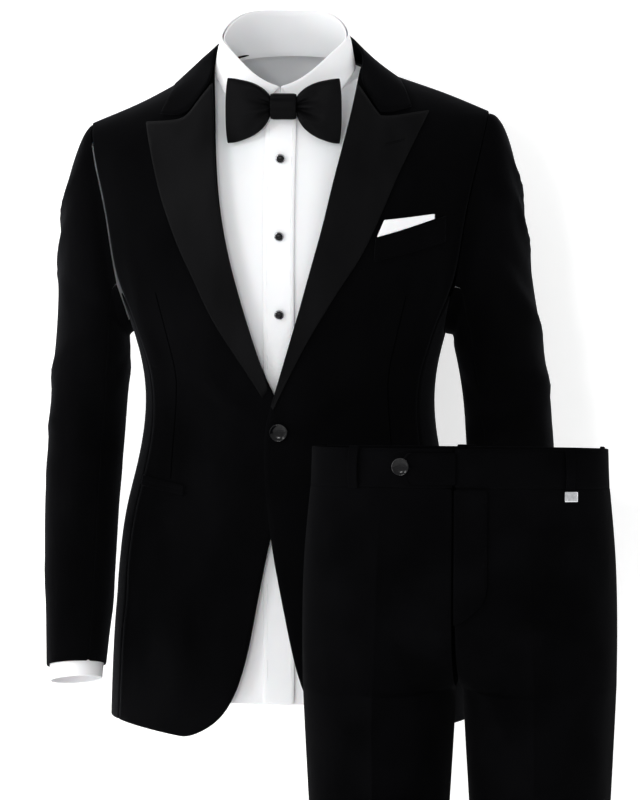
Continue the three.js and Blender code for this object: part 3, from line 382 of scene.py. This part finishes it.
def polished(name, colour, roughness, metal=0.0):
    finish = Finish(name)
    wear = finish.node("ShaderNodeTexNoise", Scale=220.0, Detail=3.0)
    finish.link(finish.space(), "Vector", wear, "Vector")
    tone = finish.ramp(wear, "Fac", scaled(colour, 0.85), scaled(colour, 1.1))
    finish.link(tone, "Color", finish.shader, "Base Color")
    rough = finish.ramp(wear, "Fac", (roughness * 0.8,) * 3, (roughness * 1.3,) * 3)
    finish.link(rough, "Color", finish.shader, "Roughness")
    finish.set(Metallic=metal, Specular_IOR_Level=0.5 if metal else 0.2)
    finish.bump([(wear, "Fac", 0.05, 0.0002)])
    return finish.material


FINISHES = {}


def finish_for(slot):
    makers = {
        "velvet": velvet,
        "satin": satin,
        "wool": wool,
        "shirting": shirting,
        # The seam finish is the velvet four times darker and almost without sheen: a real sewn dart line,
        # darkened as painted shade of the dart's groove
        "seam": lambda: velvet("seam", (0.0004, 0.0004, 0.0005), 0.01),
        "button": lambda: polished("glossy_button", (0.002, 0.002, 0.0025), 0.16),
        "metal": lambda: polished("plain_metal", tuple(colours().metal), 0.22, 1.0),
    }
    if slot not in FINISHES:
        FINISHES[slot] = makers[slot]()
    return FINISHES[slot]


# Cloth


def smooth_step(low, high, value):
    t = min(max((value - low) / (high - low), 0), 1)
    return t * t * (3 - 2 * t)


def crease_at(point, folds, outward_y, origin=(0, 0, 0)):
    """Depth in metres of all the creases at a point, each fading at its ends."""
    total = 0.0
    x, z = point.x - origin[0], point.z - origin[2]
    for x0, z0, x1, z1, depth, width, face in folds:
        if (face == "front") != (outward_y < 0):
            continue
        along = Vector(((x1 - x0) * MM, (z1 - z0) * MM))
        length = along.length
        offset = Vector((x - x0 * MM, z - z0 * MM))
        t = offset.dot(along) / length**2
        if not -0.1 < t < 1.1:
            continue
        wander = noise.noise(Vector((x0 * 0.1, t * 2.4, z0 * 0.1))) * width * MM * 0.7
        across = (offset.x * along.y - offset.y * along.x) / length + wander
        reach = width * MM * (0.8 + 0.4 * noise.noise(Vector((z0 * 0.07, t * 3, 1.0))))
        fade = smooth_step(-0.1, 0.28, t) * smooth_step(1.1, 0.7, t)
        total += depth * MM * fade * math.exp(-((across / reach) ** 2))
    return total


def tailored(node, name, slot, shape=None, rounding=None, pressed_lines=None):
    """A smooth cloth shell in the place of a fixed piece, with its rims kept crisp."""
    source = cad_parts[node]
    mesh = source.data.copy()
    mesh.name = name
    piece = bpy.data.objects.new(name, mesh)
    bpy.context.scene.collection.objects.link(piece)
    edit = bmesh.new()
    edit.from_mesh(mesh)
    bmesh.ops.transform(edit, matrix=source.matrix_world, verts=edit.verts)
    bmesh.ops.remove_doubles(edit, verts=edit.verts, dist=0.05 * MM)
    bmesh.ops.recalc_face_normals(edit, faces=edit.faces)
    pair_up(edit)
    close_seams(edit)
    pressed = press(edit, pressed_lines) if pressed_lines else set()
    crease = edit.edges.layers.float.new("crease_edge")
    for edge in edit.edges:
        if len(edge.link_faces) == 2 and edge.calc_face_angle(0) > math.radians(52):
            edge[crease] = 0.9
        elif edge in pressed:
            edge[crease] = 0.8
    edit.to_mesh(mesh)
    edit.free()
    mesh.materials.clear()
    mesh.materials.append(finish_for(slot))
    surface = piece.modifiers.new("rounding", "SUBSURF")
    surface.levels = surface.render_levels = rounding or sizes().rounding
    bake(piece)
    if shape:
        for vertex in piece.data.vertices:
            vertex.co = shape(vertex.co)
    for polygon in piece.data.polygons:
        polygon.use_smooth = True
    piece.data.set_sharp_from_angle(angle=math.radians(48))
    return stand_for(piece, slot, node)


def close_seams(edit):
    """Brings the rims of neighbouring pieces together over the gap left between them."""
    push = {}
    for face in edit.faces:
        longest = max(edge.calc_length() for edge in face.edges)
        sharp = [edge for edge in face.edges if edge.calc_face_angle(0) > math.radians(52)]
        if len(sharp) < 2 or face.calc_area() / longest > RIM:
            continue
        for vertex in face.verts:
            normals = push.setdefault(vertex, [])
            if all(face.normal.dot(other) < 0.6 for other in normals):
                normals.append(face.normal.copy())
    for vertex, normals in push.items():
        vertex.co += sum(normals, Vector()) * sizes().seam_cover


def press(edit, lines):
    """Cuts a row of edges along a pressed crease, so that the crease stays crisp."""
    cut = set()
    for (x0, z0), (x1, z1) in zip(lines, lines[1:]):
        faces = [face for face in edit.faces if z1 - MM <= face.calc_center_median().z <= z0 + MM]
        geometry = {*faces}
        for face in faces:
            geometry.update(face.edges)
            geometry.update(face.verts)
        across = Vector((z0 - z1, 0, x1 - x0)).normalized()
        found = bmesh.ops.bisect_plane(
            edit, geom=list(geometry), dist=0.02 * MM, plane_co=(x0, 0, z0), plane_no=across
        )
        cut.update(item for item in found["geom_cut"] if isinstance(item, bmesh.types.BMEdge))
    return cut


def pair_up(edit):
    """Joins triangles into the quads that they were cut from, widest joins first."""
    bmesh.ops.join_triangles(
        edit, faces=edit.faces, angle_face_threshold=math.radians(50), angle_shape_threshold=math.radians(80)
    )


def bake(piece):
    """Applies the modifiers of a piece to its mesh."""
    graph = bpy.context.evaluated_depsgraph_get()
    made = bpy.data.meshes.new_from_object(piece.evaluated_get(graph))
    piece.modifiers.clear()
    piece.data = made


def stand_for(piece, slot, *nodes):
    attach(piece, "root")
    if nodes:
        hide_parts(*nodes)
    return piece


def draped(folds, origin=(0, 0, 0), ripple=0.5):
    """Creases and an uneven surface for panels round an upright axis, moved out from it."""

    def shape(point):
        out = Vector((point.x - origin[0], (point.y - origin[1]) * 1.6, 0)).normalized()
        depth = crease_at(point, folds, out.y, origin)
        depth += noise.noise(Vector((point.x * 14, point.y * 14, point.z * 7))) * ripple * MM
        return point + out * depth * sizes().fold_depth

    return shape


def surface_of(names):
    """A search tree over the faces of some finished pieces."""
    points, faces = [], []
    for name in names:
        piece = bpy.data.objects[name]
        start = len(points)
        points += [piece.matrix_world @ vertex.co for vertex in piece.data.vertices]
        faces += [[start + index for index in polygon.vertices] for polygon in piece.data.polygons]
    return BVHTree.FromPolygons(points, faces)


def smooth_path(path, step):
    """Points at even steps along a soft curve through the given ones."""
    knots = [Vector((*point, 0)) for point in path]
    knots = [2 * knots[0] - knots[1], *knots, 2 * knots[-1] - knots[-2]]
    dense = []
    for k in range(1, len(knots) - 2):
        a, b, c, d = knots[k - 1 : k + 3]
        for n in range(24):
            t = n / 24
            bend = 2 * b + (c - a) * t + (2 * a - 5 * b + 4 * c - d) * t**2 + (3 * b - a - 3 * c + d) * t**3
            dense.append(bend / 2)
    dense.append(knots[-2])
    even, travelled = [dense[0]], 0.0
    for before, after in zip(dense, dense[1:]):
        travelled += (after - before).length
        if travelled >= step:
            even.append(after)
            travelled = 0.0
    return even


def stitches(name, path, targets, slot, face=-1, solid=False, width=None):
    """A row of stitches, or one solid line, laid on finished pieces as seen from the front or the back."""
    tree = surface_of(targets)
    half = width or sizes().thread
    step = sizes().stitch / 3
    line = []
    for point in smooth_path(path, step):
        place, normal, _, _ = tree.ray_cast(Vector((point.x, face, point.y)), Vector((0, -face, 0)))
        if place:
            line.append((place, normal if normal.y * face > 0 else -normal))
    edit = bmesh.new()
    groups = [line] if solid else [line[k : k + 3] for k in range(0, len(line) - 2, 4)]
    for group in groups:
        if len(group) > 1:
            lay_thread(edit, group, half)
    mesh = bpy.data.meshes.new(name)
    bmesh.ops.recalc_face_normals(edit, faces=edit.faces)
    for polygon in edit.faces:
        polygon.smooth = True
    edit.to_mesh(mesh)
    edit.free()
    mesh.materials.append(finish_for(slot))
    piece = bpy.data.objects.new(name, mesh)
    bpy.context.scene.collection.objects.link(piece)
    return stand_for(piece, slot)


def lay_thread(edit, group, half):
    """A flattened tube through points on the cloth, with closed ends."""
    rings = []
    for index, (place, normal) in enumerate(group):
        before, after = group[max(index - 1, 0)][0], group[min(index + 1, len(group) - 1)][0]
        side = (after - before).cross(normal).normalized()
        end = 0.6 if index in (0, len(group) - 1) else 1.0
        ring = []
        for k in range(6):
            turn = math.radians(60 * k)
            lift = normal * (math.sin(turn) * half * 0.7 * end + half * 0.3)
            ring.append(edit.verts.new(place + side * math.cos(turn) * half * end + lift))
        rings.append(ring)
    for low, high in zip(rings, rings[1:]):
        for k in range(6):
            n = (k + 1) % 6
            edit.faces.new((low[k], low[n], high[n], high[k]))
    edit.faces.new(rings[0][::-1])
    edit.faces.new(rings[-1])


# Operators


class SUIT_OT_jacket(bpy.types.Operator):
    """Fronts, sides and backs of the velvet jacket"""

    bl_idname = "suit.jacket"
    bl_label = "Jacket body"

    def execute(self, context):
        shape = draped(JACKET_FOLDS)
        cuts = {"front": (275, 790), "side": (140, 490), "back": (240, 775)}
        for side in SIDES:
            for panel, (width, length) in cuts.items():
                piece = tailored(f"jacket_{panel}_{side}", f"velvet_{panel}_{side}", "velvet", shape)
            # Each dart is a raised line in the darker seam finish, which paints the shade of the dart's groove
            dart = [(x * MM, z * MM) for x, z in DARTS[side]]
            stitches(f"dart_{side}", dart, [f"velvet_front_{side}"], "seam", solid=True, width=0.5 * MM)
        return {"FINISHED"}


class SUIT_OT_lapels(bpy.types.Operator):
    """Satin peak lapels and the velvet collar"""

    bl_idname = "suit.lapels"
    bl_label = "Lapels and collar"

    def execute(self, context):
        for side in SIDES:
            shape = draped(JACKET_FOLDS, ripple=0.3)
            piece = tailored(f"lapel_{side}", f"satin_lapel_{side}", "satin", shape)
        for shift in (-0.8, 0.8):
            path = [(x * MM, (z + shift) * MM) for x, z in LAPEL_HOLE]
            name = f"lapel_hole_{'low' if shift < 0 else 'high'}"
            stitches(name, path, ["satin_lapel_left"], "satin", solid=True, width=0.55 * MM)
        collar = tailored("jacket_collar", "velvet_collar", "velvet")
        return {"FINISHED"}


class SUIT_OT_sleeves(bpy.types.Operator):
    """Jacket sleeves in two pieces, with their elbow creases"""

    bl_idname = "suit.sleeves"
    bl_label = "Sleeves"

    def execute(self, context):
        for side, sign in SIDES.items():
            shape = creased_sleeve(side, sign)
            for part, width in (("top", 250), ("under", 170)):
                piece = tailored(f"sleeve_{part}_{side}", f"velvet_sleeve_{part}_{side}", "velvet", shape)
        return {"FINISHED"}


def sleeve_axis(side):
    """Middle of the sleeve at each height, from the fixed pieces' own boxes."""
    points = []
    for part in ("top", "under"):
        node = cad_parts[f"sleeve_{part}_{side}"]
        points += [node.matrix_world @ vertex.co for vertex in node.data.vertices]
    bands = {}
    for point in points:
        bands.setdefault(round(point.z / 0.03), []).append(point)
    axis = []
    for _, members in sorted(bands.items()):
        low = [min(point[k] for point in members) for k in range(2)]
        high = [max(point[k] for point in members) for k in range(2)]
        height = sum(point.z for point in members) / len(members)
        axis.append(((low[0] + high[0]) / 2, (low[1] + high[1]) / 2, height))
    return axis


def axis_at(axis, z):
    if z <= axis[0][2]:
        return Vector(axis[0])
    for low, high in zip(axis, axis[1:]):
        if z <= high[2]:
            return Vector(low).lerp(Vector(high), (z - low[2]) / (high[2] - low[2]))
    return Vector(axis[-1])


def creased_sleeve(side, sign):
    axis = sleeve_axis(side)
    folds = SLEEVE_FOLDS[side]

    def shape(point):
        middle = axis_at(axis, point.z)
        out = Vector((point.x - middle.x, point.y - middle.y, 0))
        if out.length < 5 * MM:
            return point
        angle = math.degrees(math.atan2(-out.y, out.x * sign))
        out.normalize()
        depth = 0.0
        for z, at, rise, half, width, deep in folds:
            turn = (angle - at + 180) % 360 - 180
            t = turn / half
            if abs(t) > 1.2:
                continue
            line = (z + rise * t * 0.5 + 6 * noise.noise(Vector((t * 2, z * 0.05, at)))) * MM
            fade = smooth_step(1.2, 0.3, abs(t))
            depth += deep * MM * fade * math.exp(-(((point.z - line) / (width * MM)) ** 2))
        depth *= smooth_step(-70 * MM, -130 * MM, point.z) * smooth_step(-672 * MM, -628 * MM, point.z)
        depth += noise.noise(point * 11) * 0.5 * MM
        return point + out * depth * sizes().fold_depth

    return shape


class SUIT_OT_pockets(bpy.types.Operator):
    """Breast welt, hip pocket jets and the folded square"""

    bl_idname = "suit.pockets"
    bl_label = "Pockets"

    def execute(self, context):
        shape = draped(JACKET_FOLDS, ripple=0.2)
        tailored("breast_welt", "velvet_welt", "velvet", shape)
        for side in SIDES:
            for edge in ("upper", "lower"):
                tailored(f"hip_jet_{edge}_{side}", f"velvet_jet_{edge}_{side}", "velvet", shape)
        square = tailored("pocket_square", "white_square", "shirting", shape)
        return {"FINISHED"}


class SUIT_OT_shirt(bpy.types.Operator):
    """Dress shirt with its placket, collar, sleeves and cuffs"""

    bl_idname = "suit.shirt"
    bl_label = "Dress shirt"

    def execute(self, context):
        shape = draped(SHIRT_FOLDS, ripple=0.6)
        cuts = {
            "front_right": (225, 700),
            "front_left": (235, 700),
            "side_right": (130, 470),
            "side_left": (130, 470),
            "back": (460, 680),
            "yoke": (460, 110),
            "placket": (36, 675),
        }
        for part, (width, length) in cuts.items():
            piece = tailored(f"shirt_{part}", f"white_{part}", "shirting", shape)
        for x in (-15.5, 10.8):
            line = [(x * MM, z * MM) for z in (-60, -250, -450, -700)]
            name = f"placket_stitches_{'right' if x < 0 else 'left'}"
            stitches(name, line, ["white_placket"], "shirting", width=0.3 * MM)
        stand = tailored("shirt_collar_stand", "white_collar_stand", "shirting", lowered_foot)
        tailored("shirt_collar_leaf", "white_collar_leaf", "shirting")
        for side in SIDES:
            tailored(f"shirt_sleeve_{side}", f"white_sleeve_{side}", "shirting")
            tailored(f"shirt_cuff_{side}", f"white_cuff_{side}", "shirting")
        return {"FINISHED"}


def lowered_foot(point):
    """The stand's foot reaches down over the yoke at the back."""
    back = smooth_step(-20 * MM, 20 * MM, point.y)
    foot = smooth_step(30 * MM, 14 * MM, point.z)
    return point + Vector((0, 0, -6 * MM * back * foot))


class SUIT_OT_bow(bpy.types.Operator):
    """Satin bow tie"""

    bl_idname = "suit.bow"
    bl_label = "Bow tie"

    def execute(self, context):
        for side in SIDES:
            tailored(f"bow_wing_{side}", f"satin_wing_{side}", "satin", pleated_wing(side), rounding=3)
        tailored("bow_knot", "satin_knot", "satin", rolled_knot, rounding=3)
        return {"FINISHED"}


BOW = Vector((1, -90.1, -35.5)) * MM


def pleated_wing(side):
    """Pleats that fan out from the knot and die away towards the wing's end."""

    def shape(point):
        out = (point.x - BOW.x) * SIDES[side]
        up = point.z - BOW.z
        turn = math.degrees(math.atan2(up, max(out - 6 * MM, 1 * MM)))
        front = smooth_step(3 * MM, -3 * MM, point.y - BOW.y) * 2 - 1
        depth = 0.0
        for at, half, deep, reach in PLEATS[side]:
            fade = smooth_step(reach * MM, reach * 0.35 * MM, out - 12 * MM)
            depth += deep * MM * fade * math.exp(-(((turn - at) / half) ** 2))
        depth *= smooth_step(8 * MM, 16 * MM, out)
        depth += noise.noise(Vector((out * 60, up * 60, SIDES[side]))) * 0.6 * MM
        return point + Vector((0, -depth * front, 0))

    return shape


def rolled_knot(point):
    """The knot's cloth is gathered in soft folds across it."""
    up = (point.z - BOW.z) / MM
    depth = 0.7 * math.sin(up * 0.42 + 0.6) + 0.4 * math.sin(up * 0.95 + 2)
    return point + Vector((0, -depth * MM if point.y < BOW.y - 4 * MM else 0, 0))


class SUIT_OT_trousers(bpy.types.Operator):
    """Trousers with pressed creases, waistband, tab, loops and fly"""

    bl_idname = "suit.trousers"
    bl_label = "Trousers"

    def execute(self, context):
        for side, sign in SIDES.items():
            lines = [(WAIST[0] + sign * x * MM, WAIST[2] + z * MM) for x, z in PRESSED]
            shape = pressed_leg(lines)
            for face, width in (("front", 275), ("back", 315)):
                node = f"trouser_{face}_{side}"
                piece = tailored(node, f"wool_{face}_{side}", "wool", shape, 3, lines)
            band = tailored(f"waistband_{side}", f"wool_waistband_{side}", "wool")
        tailored("waistband_tab", "wool_tab", "wool")
        tailored("trouser_fly", "wool_fly", "wool", draped(TROUSER_FOLDS, WAIST, ripple=0.4))
        for index in range(1, 6):
            tailored(f"belt_loop_{index}", f"wool_loop_{index}", "wool")
        stitches("fly_stitches", about_waist(FLY_STITCHES), ["wool_fly", "wool_front_left"], "wool")
        for shift in (-0.7, 0.7):
            path = [(x, z + shift * MM) for x, z in about_waist(TAB_HOLE)]
            stitches(f"tab_hole_{'low' if shift < 0 else 'high'}", path, ["wool_tab"], "wool", solid=True)
        return {"FINISHED"}


def about_waist(path):
    return [(WAIST[0] + x * MM, WAIST[2] + z * MM) for x, z in path]


def pressed_leg(lines):
    """Creases of the cloth, and the pressed crease that runs down the leg's front and back."""
    worn = draped(TROUSER_FOLDS, WAIST, ripple=0.6)
    top = lines[0][1]

    def shape(point):
        moved = worn(point)
        for (x0, z0), (x1, z1) in zip(lines, lines[1:]):
            if z1 <= point.z < z0:
                line = x0 + (x1 - x0) * (point.z - z0) / (z1 - z0)
                away = abs(point.x - line)
                depth = PRESSED_DEPTH * math.exp(-away / PRESSED_REACH)
                depth *= smooth_step(top, top - PRESSED_START, point.z)
                moved.y += depth if point.y > WAIST[1] else -depth
        return moved

    return shape


def turned(name, profile, centre, material, steps=48):
    """A turned piece facing forward, from radii and heights in millimetres."""
    edit = bmesh.new()
    rings = []
    for radius, height in profile:
        if radius == 0:
            rings.append([edit.verts.new((0, -height * MM, 0))])
            continue
        ring = []
        for k in range(steps):
            turn = 2 * math.pi * k / steps
            across, up = radius * MM * math.cos(turn), radius * MM * math.sin(turn)
            ring.append(edit.verts.new((across, -height * MM, up)))
        rings.append(ring)
    for low, high in zip(rings, rings[1:]):
        for k in range(steps):
            n = (k + 1) % steps
            corners = [low[k % len(low)], low[n % len(low)], high[n % len(high)], high[k % len(high)]]
            edit.faces.new(list(dict.fromkeys(corners)))
    bmesh.ops.recalc_face_normals(edit, faces=edit.faces)
    for face in edit.faces:
        face.smooth = True
    mesh = bpy.data.meshes.new(name)
    edit.to_mesh(mesh)
    edit.free()
    mesh.set_sharp_from_angle(angle=math.radians(50))
    mesh.materials.append(material)
    piece = bpy.data.objects.new(name, mesh)
    piece.location = centre
    bpy.context.scene.collection.objects.link(piece)
    return piece


def node_middle(node):
    low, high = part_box(node)
    return Vector(((low[0] + high[0]) / 2, high[1], (low[2] + high[2]) / 2))


def dished_button(name, node, radius, thick):
    """A glossy button with a rolled rim and a dished face."""
    rim = [
        (0, 0),
        (radius * 0.8, 0),
        (radius * 0.95, thick * 0.2),
        (radius, thick * 0.5),
        (radius * 0.97, thick * 0.82),
        (radius * 0.9, thick),
        (radius * 0.82, thick * 0.98),
        (radius * 0.74, thick * 0.78),
        (radius * 0.55, thick * 0.66),
        (radius * 0.3, thick * 0.62),
        (0, thick * 0.6),
    ]
    button = turned(name, rim, node_middle(node), finish_for("button"))
    return stand_for(button, "button", node)


class SUIT_OT_fastenings(bpy.types.Operator):
    """Buttons, dress studs and the plain plate"""

    bl_idname = "suit.fastenings"
    bl_label = "Buttons and studs"

    def execute(self, context):
        dished_button("front_button_face", "front_button", 10.7, 4.6)
        dished_button("trouser_button_face", "trouser_button", 10.0, 4.1)
        for index in (1, 2, 3):
            node = f"stud_{index}"
            place = node_middle(node)
            stone = [(0, 0.2), (3.6, 0.2), (4.0, 1.9), (3.1, 2.7), (1.6, 3.05), (0, 3.1)]
            stand_for(turned(f"stud_stone_{index}", stone, place, finish_for("button")), "button", node)
            ring = [(4.05, 0), (5.3, 0), (5.6, 1.0), (5.2, 2.0), (4.5, 2.3), (4.1, 1.9), (4.05, 0)]
            rim = turned(f"stud_rim_{index}", ring, place, finish_for("metal"))
            stand_for(rim, "metal")
        tailored("hip_plate", "plain_plate", "metal")
        return {"FINISHED"}


class SUIT_OT_stage(bpy.types.Operator):
    """White backdrop, soft light from the left, the front and behind, and the camera"""

    bl_idname = "suit.stage"
    bl_label = "Stage"

    def execute(self, context):
        build_backdrop()
        build_lights()
        build_camera()
        return {"FINISHED"}


# The camera looks at a point on the jacket's front, a little from the wearer's left and from above
LOOKED_AT = Vector((45, -125, -362)) * MM
DISTANCE = 8.0
AZIMUTH, ELEVATION = 5.0, 6.0
FRAME_HEIGHT = 0.895
SENSOR = 36.0


def build_camera():
    azimuth, elevation = math.radians(AZIMUTH), math.radians(ELEVATION)
    back = Vector(
        (math.sin(azimuth) * math.cos(elevation), -math.cos(azimuth) * math.cos(elevation), math.sin(elevation))
    )
    data = bpy.data.cameras.new("camera")
    data.sensor_width = SENSOR
    data.lens = SENSOR * DISTANCE / FRAME_HEIGHT
    camera = bpy.data.objects.new("camera", data)
    camera.location = LOOKED_AT + back * DISTANCE
    camera.rotation_euler = (-back).to_track_quat("-Z", "Y").to_euler()
    bpy.context.scene.collection.objects.link(camera)
    bpy.context.scene.camera = camera


def build_backdrop():
    """A sweep of pale paper: a floor that curves up into a wall close behind the suit."""
    edit = bmesh.new()
    floor_z, wall_y, bend, half, steps = HEM - 6 * MM, 0.22, 0.25, 6.0, 8
    profile = [(-half, floor_z)]
    for k in range(steps + 1):
        turn = math.radians(90 * k / steps)
        profile.append((wall_y - bend + bend * math.sin(turn), floor_z + bend - bend * math.cos(turn)))
    profile.append((wall_y, 3.0))
    rows = [[edit.verts.new((x, y, z)) for x in (-half, half)] for y, z in profile]
    for low, high in zip(rows, rows[1:]):
        edit.faces.new((low[0], low[1], high[1], high[0])).smooth = True
    mesh = bpy.data.meshes.new("backdrop")
    edit.to_mesh(mesh)
    edit.free()
    mesh.materials.append(paper())
    backdrop = bpy.data.objects.new("backdrop", mesh)
    bpy.context.scene.collection.objects.link(backdrop)


def paper():
    """White paper that is clear from behind, so that the back of the suit can be seen."""
    finish = Finish("pale_paper")
    grain = finish.node("ShaderNodeTexNoise", Scale=60.0, Detail=2.0)
    finish.link(finish.space(), "Vector", grain, "Vector")
    finish.bump([(grain, "Fac", 0.02, 0.0005)])
    finish.shader.inputs["Base Color"].default_value = (0.9, 0.9, 0.9, 1)
    finish.set(Roughness=0.95, Specular_IOR_Level=0.05, Emission_Strength=0.43)
    finish.shader.inputs["Emission Color"].default_value = (1, 1, 1, 1)
    side = finish.node("ShaderNodeNewGeometry")
    clear = finish.node("ShaderNodeBsdfTransparent")
    mix = finish.node("ShaderNodeMixShader")
    output = finish.nodes["Material Output"]
    finish.link(side, "Backfacing", mix, "Fac")
    links = finish.material.node_tree.links
    links.new(finish.shader.outputs["BSDF"], mix.inputs[1])
    links.new(clear.outputs["BSDF"], mix.inputs[2])
    links.new(mix.outputs["Shader"], output.inputs["Surface"])
    return finish.material


def build_lights():
    scene = bpy.context.scene
    scene.view_settings.view_transform = "Standard"
    world = bpy.data.worlds.new("studio")
    world.use_nodes = True
    world.node_tree.nodes["Background"].inputs["Color"].default_value = (1, 1, 1, 1)
    world.node_tree.nodes["Background"].inputs["Strength"].default_value = 0.72
    scene.world = world
    lamps = {
        # place, size, power
        "key": ((-2.2, -2.3, 1.2), 1.0, 24),
        "left": ((-2.5, -0.7, 0.0), 1.1, 22),
        "front": ((-0.4, -3.8, 0.5), 0.45, 26),
        "back": ((0.4, 3.2, 1.6), 2.0, 40),
    }
    target = Vector((0, -0.05, -0.4))
    for name, (place, size, power) in lamps.items():
        data = bpy.data.lights.new(name, "AREA")
        data.shape, data.size, data.energy = "DISK", size, power
        lamp = bpy.data.objects.new(name, data)
        lamp.location = place
        lamp.rotation_euler = (target - Vector(place)).to_track_quat("-Z", "Y").to_euler()
        scene.collection.objects.link(lamp)


class SUIT_PT_panel(bpy.types.Panel):
    """Lists the suit's pieces and sizes in the sidebar"""

    bl_label = "Evening suit"
    bl_idname = "SUIT_PT_panel"
    bl_space_type = "VIEW_3D"
    bl_region_type = "UI"
    bl_category = "Suit"

    def draw(self, context):
        for operator in OPERATORS:
            self.layout.operator(operator.bl_idname)
        for group in (context.scene.suit_sizes, context.scene.suit_colours):
            for name in group.bl_rna.properties.keys():
                if name not in ("rna_type", "name"):
                    self.layout.prop(group, name)


OPERATORS = (
    SUIT_OT_shirt,
    SUIT_OT_jacket,
    SUIT_OT_lapels,
    SUIT_OT_sleeves,
    SUIT_OT_pockets,
    SUIT_OT_bow,
    SUIT_OT_trousers,
    SUIT_OT_fastenings,
    SUIT_OT_stage,
)
CLASSES = (SuitSizes, SuitColours, *OPERATORS, SUIT_PT_panel)


def register():
    for item in CLASSES:
        bpy.utils.register_class(item)
    bpy.types.Scene.suit_sizes = bpy.props.PointerProperty(type=SuitSizes)
    bpy.types.Scene.suit_colours = bpy.props.PointerProperty(type=SuitColours)


def unregister():
    del bpy.types.Scene.suit_colours
    del bpy.types.Scene.suit_sizes
    for item in reversed(CLASSES):
        bpy.utils.unregister_class(item)


def main():
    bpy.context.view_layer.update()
    register()
    for operator in OPERATORS:
        group, name = operator.bl_idname.split(".")
        getattr(getattr(bpy.ops, group), name)()


if __name__ == "__main__":
    main()
